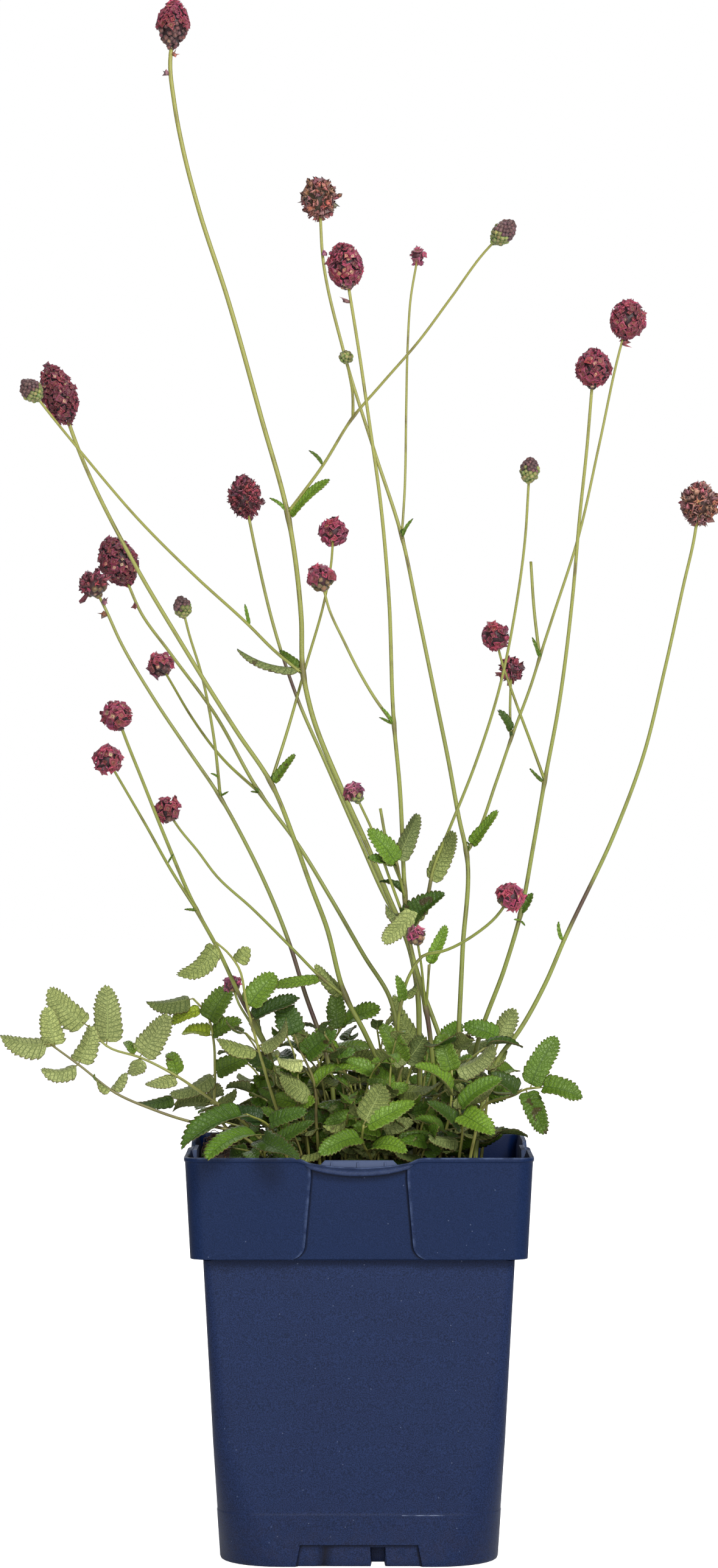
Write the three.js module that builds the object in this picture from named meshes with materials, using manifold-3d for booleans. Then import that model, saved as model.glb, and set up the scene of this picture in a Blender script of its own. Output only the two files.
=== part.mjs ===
// A potted tanna great burnet: a square nursery pot filled with peat compost, eleven branching
// stems with twenty-eight flower heads, and nineteen feather leaves (fronds) with toothed leaflets.
// Millimetres, +Z up, origin on the ground under the middle of the pot, front of the plant towards -Y.
import * as THREE from 'three';
import { mergeVertices } from 'three/addons/utils/BufferGeometryUtils.js';
import Module from 'manifold-3d';

const wasm = await Module();
wasm.setup();

// The plant's places are given as they are seen from the front: [across, up, depth], where across
// and up are read on the upright plane through the pot's middle, and depth is how far behind that
// plane the place lies. The eye looks level along +Y from this distance and height.
const EYE_DISTANCE = 1555;
const EYE_HEIGHT = 250;

// Pot: an 11 cm square pot with a tapered body, a wider collar and a foot at each corner.
const POT_HEIGHT = 131.5;
const RIM_HALF = 55.4;
const COLLAR_BOTTOM = 99;
const COLLAR_HALF = 53.7;
const COLLAR_CORNER = 5;
const BODY_TOP_HALF = 49.7;
const BASE_HALF = 44.7;
const FOOT_CHAMFER = 0.8;
const WALL = 1.2;
const COLLAR_WALL = 2;
const RIM_WALL = 1;
const FLOOR_UNDER = 7;
const FLOOR_TOP = 8.5;
const SKIRT = 2.6;
const SKIRT_CORNER = 30;
// The corner radius of the body at each height: nearly sharp above, round at the feet.
const BODY_CORNERS = [[0, 20], [17, 13.5], [40, 6], [98.5, 2.6]];
const CORNER_STEPS = 2;

// In the middle of each side: a panel set back between two flaps, a dip in the rim with a bowed
// lip below it and a tongue behind it, and a shallow notch with a drain slot at the foot.
const PANEL_DEPTH = 1;
const PANEL_TOP = [15.2, 124.5];
const PANEL_BOTTOM = [17, 104];
const FLAP_ROUND = 5;
const DIP_EDGE = [[7, 128.4], [13, 129.3], [17.5, 130.6], [21, 131.7], [21, 133.5]];
const LIP_HALF = 17;
const LIP_HEIGHTS = [125.8, 127.8];
const LIP_RISE = 2.4;
const LIP_FACES = [54.1, 57.2];
const TONGUE_HALF = 13;
const TONGUE_BOTTOM = 125;
const TONGUE_TOP = 130.6;
const TONGUE_CHAMFER = 2.2;
const TONGUE_FACES = [52.9, 54.3];
const NOTCH_HALF = [20.2, 18.8];
const NOTCH_DEPTH = 1.3;
const DRAIN_SLOT = [3.8, 8.5];
const DRAIN_RADIUS = 4;
const DRAIN_PLACE = 24;

// Soil: it fills the pot, clear of the wall, with a plain hole round each stem and petiole.
const SOIL_CLEARANCE = 0.35;
const SOIL_TOP = 124.4;
const SOIL_EDGE_HALF = 52.3;
const HEAP = [-40, 30];
const HEAP_HEIGHT = 6;
const HEAP_SPREAD = 26;
const HOLE_CLEARANCE = 0.45;
const HOLE_REACH = 24;
const ROOT_UP = 116;

// Stems, heads and leaves.
const SEAT_GAP = 0.3;
const STEM_SIDES = 5;
const SHOOT_SIDES = 4;
const PETIOLE_SIDES = 3;
const STEM_THICK = [1.25, 0.65];
const SHOOT_THICK = [0.8, 0.5];
const PETIOLE_THICK = [1, 0.6];
const LEAN = 1.2;
const BLADE = 0.78;
const SMALL_LEAFLET = 13.5;
const FOLD = 0.28;
const ARCH = 0.1;
const FIRST_TOOTH = 0.22;
const LAST_TOOTH = 0.8;
const RIB_MIDDLE = 0.52;
const TOOTH_REACH = 1.16;
const NOTCH_REACH = 1;

const COLOURS = {
  pot: 0x26385f,
  soil: 0x2b211b,
  stem: 0x93a04c,
  leaf: 0x45772e,
  paleLeaf: 0x7fa050,
  open: 0x84243f,
  dark: 0x521b2b,
  red: 0x8e2a4c,
  old: 0x6d4540,
  pink: 0xa8627a,
  bud: 0x4f3838,
  greenBud: 0x6f8347,
};

// Every stem, from the soil up: the depth of its foot and of its tip, and its path as [across, up].
// A head is its width and length in millimetres and its state of flower, and the path of its stem
// ends at its middle. A shoot starts on its parent's path. A leaf is
// [on the stem: across, up, tip: across, up, forward step, width, turn].
const STEMS = [
  {
    depth: [2, 10],
    head: [10.2, 16.5, 'open'],
    path: [[20, ROOT_UP], [19.8, 165], [19.3, 181], [17, 194.5], [9, 214.5], [3, 229], [-6, 249],
      [-16, 275], [-18.3, 286], [-19, 305], [-23.5, 339], [-32, 370], [-43.3, 410], [-57, 461],
      [-61.5, 480], [-61, 499.5]],
    leaves: [[-23, 337, -10, 350, -3, 4, 50], [-18.5, 288, -40, 293.5, -8, 4, 45],
      [-18.4, 286.5, -26, 293.5, 3, 3.4, 50]],
    shoots: [
      {
        depth: -35,
        head: [6.5, 10, 'bud'],
        path: [[-23.5, 339], [-12, 354.5], [-2, 370.5], [7, 381], [20, 396], [30, 409.5],
          [42.5, 426.2], [47.3, 431.2]],
        shoots: [{
          depth: -22,
          head: [4, 4.6, 'greenBud'],
          path: [[-2, 370.5], [-2.2, 379], [-3.3, 385], [-4.3, 390.3]],
        }],
      },
      {
        depth: -45,
        head: [6.5, 8.5, 'bud'],
        path: [[-18.3, 286], [-28, 294], [-36, 302], [-53.5, 318], [-72.5, 337],
          [-90, 357.5], [-103, 373.5], [-107.5, 379.3]],
      },
    ],
  },
  {
    depth: [14, 40],
    head: [10, 13.5, 'old'],
    path: [[29, ROOT_UP], [28.5, 160], [21.4, 181], [14, 203], [9, 212], [0, 232], [-11, 257],
      [-20, 277.5], [-27.5, 300], [-34, 327], [-37.5, 344]],
  },
  {
    depth: [6, 30],
    head: [10.5, 12.5, 'old'],
    path: [[32.5, ROOT_UP], [32.6, 163], [34, 195], [35.3, 227.5], [33, 238], [29.5, 257],
      [25, 279], [19, 308], [14, 331.5], [5.5, 358], [-5, 392], [-12, 424], [-13, 442.3]],
    shoots: [
      {
        depth: 50,
        thick: [0.5, 0.45],
        head: [5, 5, 'pink'],
        path: [[14, 331.5], [14.9, 345], [15.5, 375], [16, 395], [17, 410], [19.3, 423.5]],
      },
      {
        depth: 15,
        head: [11.2, 13, 'open'],
        path: [[35.3, 227.5], [38.5, 233], [45, 250.5], [50, 265], [57, 284], [59.3, 291.5],
          [63, 303], [72, 331], [79, 362], [85.5, 392], [88.3, 402.5]],
        leaves: [[36.5, 229.5, 45.5, 241, -6, 4.5, 50]],
        shoots: [
          {
            depth: 24,
            thick: [0.6, 0.5],
            head: [7.5, 6, 'old'],
            path: [[50, 265], [49.6, 272], [49.7, 280], [50, 287.5]],
            leaves: [[49.7, 267, 46.5, 274, -3, 3.2, 50]],
          },
          { depth: 22, thick: [0.7, 0.6], path: [[59.3, 291.5], [57.5, 307], [56.4, 323]] },
        ],
      },
    ],
  },
  {
    depth: [-9, -30],
    head: [11, 15, 'open'],
    path: [[25, ROOT_UP], [24.5, 155], [22, 176], [20.5, 183], [18, 192], [15.8, 203], [15, 215],
      [13.3, 250], [11.5, 269.5], [9.7, 313], [7, 343], [3.5, 368], [0, 392], [-4.5, 420]],
    leaves: [[15.8, 204, 27.5, 214, -9, 8, 60], [15.6, 205, 9, 210, -3, 4.5, 50],
      [15.1, 214, 7.5, 218.5, -3, 3.4, 45]],
    shoots: [
      {
        depth: -22,
        head: [8.6, 8.6, 'red'],
        path: [[11.5, 269.5], [5, 278.5], [0, 287], [-5, 297], [-10, 308], [-12.5, 317.5]],
      },
      {
        depth: -62,
        head: [5.8, 8, 'bud'],
        path: [[15.8, 203], [21.5, 210.5], [24.5, 222.5], [30, 236], [38, 256], [46, 281],
          [51, 305], [54.5, 330], [56, 353]],
        leaves: [[22, 213, 8, 198, -15, 7, 60], [23, 217, 32, 234.5, -9, 6.5, 60]],
      },
      {
        depth: -32,
        thick: [0.7, 0.5],
        head: [6.6, 6.8, 'pink'],
        path: [[15.8, 203], [10, 219], [4, 235.5], [-1.3, 246.8]],
      },
      {
        depth: -24,
        thick: [0.6, 0.5],
        head: [6.2, 6.2, 'old'],
        path: [[22, 176], [21.2, 183], [20.5, 190], [18.9, 199.8]],
      },
      { depth: -15, thick: [0.7, 0.6], path: [[15, 215], [9.3, 230], [7, 242]] },
      {
        depth: -24,
        thick: [0.6, 0.5],
        path: [[15.1, 212], [13.5, 219], [12.3, 224.2]],
        leaves: [[12.5, 223.5, 3.2, 235, -4, 7, 60], [12.3, 224, 20, 240, -2, 6, 55],
          [12.6, 222.5, 3.5, 226, -6, 4, 45]],
      },
      {
        depth: -19,
        thick: [0.6, 0.5],
        path: [[22, 176], [22.6, 184], [23, 190.5]],
        leaves: [[23, 190, 28.5, 203.5, 2, 4, 55]],
      },
    ],
  },
  {
    depth: [5, -18],
    head: [10.5, 20, 'dark'],
    path: [[11, ROOT_UP], [9.5, 150], [2, 168], [-4.3, 180], [-11, 204], [-16, 217], [-21, 231],
      [-29, 250.5], [-40, 267], [-60, 299], [-73, 321], [-93.5, 363.5],
      [-98.6, 378]],
    leaves: [[-28.6, 250, -21, 259.5, -2, 3.4, 50], [-4.6, 181, -14.5, 190, 3, 5, 50]],
    shoots: [
      {
        depth: 40,
        head: [8.8, 8.8, 'red'],
        path: [[-29, 250.5], [-24, 266], [-18, 287], [-11, 312], [-9, 324], [-8.4, 332.7]],
      },
      {
        depth: -20,
        head: [8, 8.2, 'open'],
        path: [[-4.3, 180], [-12, 186], [-21, 195], [-35, 209], [-47, 220], [-53, 228],
          [-59.5, 236], [-63, 241.3]],
        leaves: [[-12, 186, -31, 184.5, -4, 4.5, 45]],
      },
    ],
  },
  {
    depth: [-2, 45],
    head: [12.5, 17.5, 'dark'],
    path: [[14, ROOT_UP], [13.5, 160], [10, 180], [2, 193], [-9, 212], [-20, 230], [-32.5, 247],
      [-48, 274], [-62, 293], [-72, 307], [-79, 323]],
    shoots: [{
      depth: 52,
      head: [8.2, 7.6, 'open'],
      path: [[-32.5, 247], [-44, 257.5], [-55, 272], [-61.5, 283], [-65, 289]],
    }],
  },
  {
    depth: [8, 22],
    head: [8.5, 9, 'old'],
    path: [[-8, ROOT_UP], [-10, 158], [-18, 182], [-23, 198], [-30, 215.5], [-38, 232],
      [-45.5, 245.5], [-56, 261], [-68, 279], [-78.5, 297], [-83.5, 308], [-87, 315]],
    shoots: [{
      depth: 2,
      head: [5.6, 7, 'pink'],
      path: [[-45.5, 245.5], [-47.5, 264], [-52, 287], [-56, 300], [-58, 308]],
    }],
  },
  {
    depth: [-4, -50],
    head: [9, 9, 'dark'],
    path: [[-23, ROOT_UP], [-26, 145], [-30, 162.5], [-39, 180], [-47, 197], [-53.3, 208.5],
      [-63.5, 232], [-71.5, 252], [-76.5, 264.5], [-79.5, 272.5]],
    shoots: [
      {
        depth: -66,
        head: [8.5, 8.5, 'open'],
        path: [[-53.3, 208.5], [-61, 220.5], [-70, 236.5], [-79, 252], [-82.5, 258]],
      },
      {
        depth: -12,
        thick: [0.6, 0.5],
        head: [6, 4.8, 'pink'],
        path: [[-30, 162.5], [-36, 172], [-40, 179], [-41.5, 183.8]],
      },
    ],
  },
  {
    depth: [-6, 5],
    head: [11.3, 12.5, 'old'],
    path: [[37, ROOT_UP], [42, 150], [46, 160], [52, 168], [61, 184], [67.5, 199], [84, 234],
      [93, 258], [100.5, 288], [106.5, 315], [110.3, 332], [111.8, 342]],
  },
  {
    depth: [13, -20],
    head: [10.8, 12.8, 'open'],
    path: [[35, ROOT_UP], [39, 165], [48, 190], [52.5, 205], [57.5, 231], [61, 251], [65.5, 275],
      [70, 310], [72.5, 338], [75, 362], [76, 374], [77, 386.5]],
    leaves: [[53, 207.5, 57, 214, -2, 3.2, 50]],
    shoots: [{
      depth: -26,
      head: [8.3, 8.6, 'open'],
      path: [[61, 251], [57, 262], [50, 281], [46.5, 291.5], [44.8, 298.5]],
    }],
  },
  {
    depth: [-10, -45],
    thick: [0.9, 0.6],
    head: [8.6, 8.4, 'pink'],
    path: [[12, ROOT_UP], [13.5, 150], [13.5, 176.5], [17, 188], [21, 193.5], [28, 195.2],
      [38, 200.5], [46, 207.5], [49.7, 212.7]],
    leaves: [[13.7, 178, 12.3, 187, -3, 3.4, 50], [14.2, 180, 19, 184.5, -3, 3.4, 50]],
  },
];

// Every frond: its petiole as [across, up, depth] from the soil out, and its leaflets as
// [along the petiole from 0 to 1, tip: across, up, depth, width, turn]. A turn of 0 degrees has the
// upper side to the sky and 90 to the front.
const FRONDS = [
  {
    petiole: [[-27, ROOT_UP, -8], [-33, 130, -10], [-42, 136, -12], [-50.5, 138, -14],
      [-57, 139.5, -15], [-67.5, 143, -17], [-80, 148.5, -18], [-91.7, 157.5, -18],
      [-101.3, 164.5, -18]],
    leaflets: [[1, -117.5, 167.5, -18, 8, 50], [0.98, -102.5, 176.5, -14, 7.5, 70],
      [0.88, -88, 170.5, -14, 7.5, 60], [0.88, -104.3, 155.8, -23, 6, 50],
      [0.73, -87.5, 153.5, -23, 3.8, 45], [0.73, -76.5, 154.5, -14, 3.8, 45]],
  },
  {
    petiole: [[-24, ROOT_UP, 1], [-31, 130, 0], [-38, 139, -2], [-46.5, 145, -4], [-53, 149.5, -5],
      [-59, 153.5, -6], [-71.5, 160, -7], [-83, 164, -7], [-89, 170.5, -7]],
    leaflets: [[1, -102, 182.5, -7, 9, 65], [0.9, -83, 183.5, -3, 9.5, 70],
      [0.77, -62.5, 174, -3, 9, 70], [0.79, -77, 166, 1, 3, 50], [0.77, -75, 154, -15, 5.5, 40],
      [0.61, -70, 150, -14, 5.5, 45], [0.61, -62, 162, 1, 5.5, 45]],
  },
  {
    petiole: [[-30, ROOT_UP, 10], [-38, 130, 11], [-47, 143, 10], [-47.3, 155, 9], [-47.8, 166, 8],
      [-50, 174.5, 7], [-54.5, 179.5, 6]],
    leaflets: [[1, -69.5, 177.5, 4, 7.5, 45], [0.86, -42.5, 183.5, 5, 8, 60],
      [0.8, -39.5, 172.5, 3, 6.5, 50], [0.8, -58, 168, 12, 6, 40], [0.93, -62.5, 172, 10, 4.5, 60],
      [0.62, -36, 161, 5, 7, 55], [0.62, -61.5, 147, 6, 7, 35], [0.47, -40, 149, 6, 5, 50]],
  },
  {
    petiole: [[-17, ROOT_UP, -14], [-26, 140, -20], [-33, 163, -26], [-37, 178, -29],
      [-39.7, 190, -31], [-43, 194.5, -32], [-47, 198, -33]],
    leaflets: [[1, -59, 186.5, -36, 7, 60], [0.9, -36, 196, -28, 5.5, 50],
      [0.72, -27.5, 187.5, -24, 8, 70], [0.68, -20, 180, -30, 7, 40], [0.58, -23, 172, -38, 7, 50],
      [0.56, -47, 165, -31, 7, 40]],
  },
  {
    petiole: [[-12, ROOT_UP, -18], [-14, 138, -22], [-15, 153, -25], [-19, 162, -26],
      [-21, 167, -26.5]],
    leaflets: [[1, -25, 178, -25, 9, 78], [0.86, -7.7, 169.5, -31, 7.5, 65],
      [0.84, -27, 160, -36, 6.5, 50], [0.6, -26, 154, -34, 7.5, 60], [0.66, -2, 157, -30, 6.5, 40]],
  },
  {
    petiole: [[-20, ROOT_UP, -24], [-25, 130, -31], [-30, 138, -40], [-37, 141.5, -50]],
    leaflets: [[1, -57.5, 130, -67, 9.5, 40], [0.75, -44, 142, -40, 7.5, 45],
      [0.7, -18, 143, -45, 6.5, 50]],
  },
  {
    petiole: [[-29, ROOT_UP, -34], [-31, 128, -41], [-32.5, 134.5, -49]],
    leaflets: [[1, -50, 127.5, -72, 8.5, 35], [0.95, -20, 127, -69, 8, 35],
      [0.6, -15, 139, -50, 5.5, 50]],
  },
  {
    petiole: [[-3, ROOT_UP, 13], [-8, 138, 16], [-14.5, 154, 17], [-10, 163, 16], [-5.7, 170, 14]],
    leaflets: [[1, 6, 177, 10, 8, 35], [0.97, -7, 182, 18, 6.5, 75], [0.82, 4, 164, 9, 7, 35],
      [0.8, -22, 170, 22, 7, 50], [0.6, -28, 158, 22, 7.5, 50], [0.6, 0, 153, 17, 6.5, 40]],
  },
  {
    petiole: [[8, ROOT_UP, -26], [4, 127, -32], [1, 133, -40], [1.5, 138, -45]],
    leaflets: [[1, 8, 151, -48, 9, 82], [0.8, -13, 128.5, -53, 7.5, 55], [0.95, 18, 146, -43, 7, 55],
      [0.55, 15, 130, -45, 6.5, 45]],
  },
  {
    petiole: [[17, ROOT_UP, 19], [20, 140, 23], [22.5, 161.5, 25]],
    leaflets: [[1, 10.5, 180, 26, 7, 60], [0.9, 33, 172, 33, 8, 50], [0.72, 7, 163, 26, 7.5, 50],
      [0.72, 36, 158, 34, 7.5, 50], [0.52, 7, 150, 26, 7, 50], [0.52, 34, 146, 33, 7, 50]],
  },
  {
    petiole: [[7, ROOT_UP, -14], [8, 135, -18], [12, 150, -22], [14.5, 158, -24]],
    leaflets: [[1, 21.5, 167, -27, 7, 70], [0.97, 7, 171, -25, 7.5, 70], [0.8, -5, 160, -26, 7, 45],
      [0.78, 27, 151, -31, 7, 45], [0.55, -5, 147, -25, 6.5, 45]],
  },
  {
    petiole: [[25, ROOT_UP, -20], [27, 130, -24], [30, 143, -28], [30.5, 156, -31]],
    leaflets: [[1, 45, 163.5, -35, 7.5, 45], [0.97, 27, 168, -29, 7, 65], [0.8, 18, 157, -38, 7, 45],
      [0.75, 44, 150, -39, 7, 45], [0.5, 20, 141, -37, 6.5, 45]],
  },
  {
    petiole: [[39, ROOT_UP, 6], [41, 135, 6], [42.5, 150, 5], [44, 160, 4], [46, 166, 3]],
    leaflets: [[1, 35, 171, 0, 7, 55], [0.98, 51, 176, 4, 7, 70], [0.75, 33, 154, 1, 7, 55],
      [0.72, 52, 157, 18, 7, 45]],
  },
  {
    petiole: [[35, ROOT_UP, -15], [37.5, 132, -17], [41.5, 144.5, -18], [51.5, 148, -22],
      [54, 149.5, -23], [59.5, 150.3, -25]],
    leaflets: [[0.93, 65, 167, -21, 8, 72], [1, 73, 147.5, -29, 7.5, 55], [0.9, 61, 135, -33, 7, 65],
      [0.85, 43.5, 155, -25, 6.5, 50]],
  },
  {
    petiole: [[32, ROOT_UP, -28], [33, 128, -33], [34, 138, -38], [33, 143, -41]],
    leaflets: [[1, 47, 153, -45, 6.5, 50], [0.95, 44, 134.5, -50, 8, 65], [0.75, 24, 146, -46, 6, 50],
      [0.6, 23, 134, -44, 6, 50]],
  },
];

// The fronds at the back arch over by rule, with their leaflets in opposite pairs:
// the petiole, how many pairs, and the length of the largest leaflet.
const BACK_FRONDS = [
  { petiole: [[-14, ROOT_UP, 24], [-18, 140, 28], [-24, 153, 37], [-31, 156, 48]], pairs: 2, leaflet: 17 },
  { petiole: [[5, ROOT_UP, 27], [5, 140, 32], [4, 152, 43], [3, 154, 58]], pairs: 3, leaflet: 15 },
  { petiole: [[27, ROOT_UP, 25], [31, 140, 32], [37, 151, 42], [43, 151, 52]], pairs: 2, leaflet: 16 },
  { petiole: [[-26, ROOT_UP, 20], [-38, 137, 26], [-50, 146, 33], [-60, 147, 40]], pairs: 2, leaflet: 16 },
];
const PAIR_WIDTH = 0.52;
const PAIR_FORWARD = 0.45;
const PAIR_FIRST = 0.45;

function seen([across, up, depth]) {
  const scale = (EYE_DISTANCE + depth) / EYE_DISTANCE;
  return new THREE.Vector3(across * scale, depth, EYE_HEIGHT + (up - EYE_HEIGHT) * scale);
}

function solid(geometry) {
  const bare = geometry.clone();
  bare.deleteAttribute('normal');
  bare.deleteAttribute('uv');
  const merged = mergeVertices(bare, 1e-4);
  return new wasm.Manifold(new wasm.Mesh({
    numProp: 3,
    vertProperties: new Float32Array(merged.attributes.position.array),
    triVerts: new Uint32Array(merged.index.array),
  }));
}

function geometryOf(manifold) {
  const mesh = manifold.getMesh();
  const geometry = new THREE.BufferGeometry();
  geometry.setAttribute('position', new THREE.BufferAttribute(mesh.vertProperties, 3));
  geometry.setIndex(new THREE.BufferAttribute(mesh.triVerts, 1));
  return geometry;
}

function joined(solids) {
  return solids.reduce((whole, next) => whole.add(next));
}

// Joins rings of points into one closed body, each end closed on its own pole. With relief on,
// each quad is split between its two low corners, so the raised points stand up as little peaks.
function loft(rings, firstPole, lastPole, relief = false) {
  const count = rings[0].length;
  const points = [...rings.flat(), firstPole, lastPole];
  const faces = [];
  for (let row = 0; row + 1 < rings.length; row += 1) {
    for (let column = 0; column < count; column += 1) {
      const a = row * count + column;
      const b = row * count + (column + 1) % count;
      const [c, d] = [a + count, b + count];
      if (relief && (row + column) % 2 === 0) faces.push(a, b, c, b, d, c);
      else faces.push(a, b, d, a, d, c);
    }
  }
  const top = (rings.length - 1) * count;
  for (let column = 0; column < count; column += 1) {
    const next = (column + 1) % count;
    faces.push(points.length - 2, next, column);
    faces.push(points.length - 1, top + column, top + next);
  }
  const geometry = new THREE.BufferGeometry();
  const places = points.flatMap((point) => point.toArray());
  geometry.setAttribute('position', new THREE.Float32BufferAttribute(places, 3));
  geometry.setIndex(faces);
  return geometry;
}

// A level ring round a square with rounded corners, anticlockwise from above.
function squareRing(up, half, radius) {
  const ring = [];
  for (let corner = 0; corner < 4; corner += 1) {
    const turn = corner * Math.PI / 2;
    const middle = new THREE.Vector3(half - radius, half - radius, up);
    for (let step = 0; step <= CORNER_STEPS; step += 1) {
      const angle = step / CORNER_STEPS * Math.PI / 2;
      const point = new THREE.Vector3(Math.cos(angle), Math.sin(angle), 0).multiplyScalar(radius);
      ring.push(point.add(middle).applyAxisAngle(new THREE.Vector3(0, 0, 1), turn));
    }
  }
  return ring;
}

function squareLoft(levels) {
  const rings = levels.map(([up, half, radius]) => squareRing(up, half, radius));
  const pole = (level) => new THREE.Vector3(0, 0, level[0]);
  return loft(rings, pole(levels[0]), pole(levels.at(-1)));
}

function bodyHalf(up) {
  return THREE.MathUtils.mapLinear(up, 0, COLLAR_BOTTOM, BASE_HALF, BODY_TOP_HALF);
}

// The inside of the pot as [up, half, corner radius], from the floor to the rim.
function insideLevels() {
  const body = BODY_CORNERS.slice(1, -1).map(([up, radius]) => [up, bodyHalf(up) - WALL, radius - WALL]);
  return [
    [FLOOR_TOP, bodyHalf(FLOOR_TOP) - WALL, 15.5],
    ...body,
    [COLLAR_BOTTOM + 2, BODY_TOP_HALF - WALL, 1.8],
    [COLLAR_BOTTOM + 3.5, COLLAR_HALF + 0.2 - COLLAR_WALL, COLLAR_CORNER - COLLAR_WALL],
    [POT_HEIGHT - 4, RIM_HALF - COLLAR_WALL - 0.2, COLLAR_CORNER - COLLAR_WALL],
  ];
}

// A flat outline of [across, up] points, pushed through the front wall from one depth to the other.
function prism(outline, from, to) {
  const shape = new THREE.Shape(outline.map(([across, up]) => new THREE.Vector2(across, up)));
  const geometry = new THREE.ExtrudeGeometry(shape, { depth: to - from, bevelEnabled: false });
  return geometry.rotateX(Math.PI / 2).translate(0, to, 0);
}

function mirrored(right) {
  return [...right, ...right.map(([across, up]) => [-across, up]).reverse()];
}

function onFourSides(geometry) {
  return [0, 1, 2, 3].map((side) => solid(geometry.clone().rotateZ(side * Math.PI / 2)));
}

// The panel's outline, with the flaps' lower corners rounded off towards the collar's bottom edge.
function panelOutline() {
  const [across, up] = PANEL_BOTTOM;
  const round = [0, 1, 2].map((step) => {
    const angle = step / 2 * Math.PI / 2;
    return [across + FLAP_ROUND * (1 - Math.cos(angle)), up - FLAP_ROUND * Math.sin(angle)];
  });
  return mirrored([PANEL_TOP, ...round, [across + FLAP_ROUND, COLLAR_BOTTOM - 1]]);
}

function lipOutline() {
  const steps = [1, 0.5, 0, -0.5, -1];
  const edge = (up) => steps.map((step) => [step * LIP_HALF, up + LIP_RISE * step * step]);
  return [...edge(LIP_HEIGHTS[0]), ...edge(LIP_HEIGHTS[1]).reverse()];
}

function pot() {
  const outside = [
    [0, BASE_HALF - FOOT_CHAMFER, BODY_CORNERS[0][1] - FOOT_CHAMFER],
    [FOOT_CHAMFER, BASE_HALF, BODY_CORNERS[0][1]],
    ...BODY_CORNERS.slice(1).map(([up, radius]) => [up, bodyHalf(up), radius]),
    [COLLAR_BOTTOM, COLLAR_HALF, COLLAR_CORNER],
    [POT_HEIGHT, RIM_HALF, COLLAR_CORNER],
  ];
  const inside = [...insideLevels(), [POT_HEIGHT + 1, RIM_HALF - RIM_WALL, COLLAR_CORNER - RIM_WALL]];
  const under = [
    [-1, BASE_HALF - SKIRT, SKIRT_CORNER],
    [FLOOR_UNDER, bodyHalf(FLOOR_UNDER) - SKIRT, SKIRT_CORNER],
  ];
  const tilt = Math.atan2(RIM_HALF - COLLAR_HALF, POT_HEIGHT - COLLAR_BOTTOM);
  const panel = prism(panelOutline(), -8, 0);
  panel.translate(0, 0, -COLLAR_BOTTOM).rotateX(tilt);
  panel.translate(0, PANEL_DEPTH - COLLAR_HALF, COLLAR_BOTTOM);
  const tongue = mirrored([[TONGUE_HALF, TONGUE_BOTTOM], [TONGUE_HALF, TONGUE_TOP - TONGUE_CHAMFER],
    [TONGUE_HALF - TONGUE_CHAMFER, TONGUE_TOP]]);
  const notch = mirrored([[NOTCH_HALF[1], FLOOR_UNDER], [NOTCH_HALF[0], -1]].reverse());
  const slot = [[DRAIN_SLOT[0], -1], [DRAIN_SLOT[1], -1], [DRAIN_SLOT[1], FLOOR_UNDER - 0.8],
    [DRAIN_SLOT[0], FLOOR_UNDER - 0.8]];
  const drain = new THREE.CylinderGeometry(DRAIN_RADIUS, DRAIN_RADIUS, 4, 6).rotateX(Math.PI / 2);
  drain.translate(DRAIN_PLACE, DRAIN_PLACE, (FLOOR_UNDER + FLOOR_TOP) / 2);
  const cuts = [
    solid(squareLoft(inside)),
    solid(squareLoft(under)),
    ...onFourSides(panel),
    ...onFourSides(prism(mirrored(DIP_EDGE), -LIP_FACES[1] - 1, -TONGUE_FACES[0])),
    ...onFourSides(prism(notch, -BASE_HALF - 2, NOTCH_DEPTH - BASE_HALF)),
    ...onFourSides(prism(slot, -BASE_HALF - 2, SKIRT + 1 - BASE_HALF)),
    ...onFourSides(drain),
  ];
  const additions = [
    ...onFourSides(prism(lipOutline(), -LIP_FACES[1], -LIP_FACES[0])),
    ...onFourSides(prism(tongue, -TONGUE_FACES[1], -TONGUE_FACES[0])),
  ];
  const cut = cuts.reduce((whole, next) => whole.subtract(next), solid(squareLoft(outside)));
  return joined([cut, ...additions]);
}

// The soil's surface: a gentle slope and two long waves, with a round heap at the back left.
function soilHeight(x, y) {
  const slope = 0.014 * y - 0.012 * x;
  const wave = 0.7 * Math.sin(0.16 * x + 1) * Math.cos(0.19 * y) + 0.35 * Math.sin(0.37 * x - 0.31 * y);
  const fromHeap = Math.hypot(x - HEAP[0], y - HEAP[1]) / HEAP_SPREAD;
  return SOIL_TOP + slope + wave + HEAP_HEIGHT * Math.exp(-fromHeap * fromHeap);
}

function soil(holes) {
  const levels = insideLevels().slice(0, -1).map(([up, half, radius]) => [
    up + SOIL_CLEARANCE, half - SOIL_CLEARANCE, radius - SOIL_CLEARANCE]);
  const rings = levels.map(([up, half, radius]) => squareRing(up, half, radius));
  const edge = COLLAR_CORNER - COLLAR_WALL - SOIL_CLEARANCE;
  [[1, -1.4], [0.93, 0], [0.66, 0], [0.33, 0]].forEach(([share, drop]) => {
    const half = SOIL_EDGE_HALF * share;
    const ring = squareRing(0, half, Math.max(edge, half * (1 - share)));
    rings.push(ring.map((point) => point.setZ(soilHeight(point.x, point.y) + drop)));
  });
  const bottom = new THREE.Vector3(0, 0, levels[0][0]);
  const top = new THREE.Vector3(0, 0, soilHeight(0, 0));
  return holes.reduce((whole, hole) => whole.subtract(hole), solid(loft(rings, bottom, top)));
}

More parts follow.
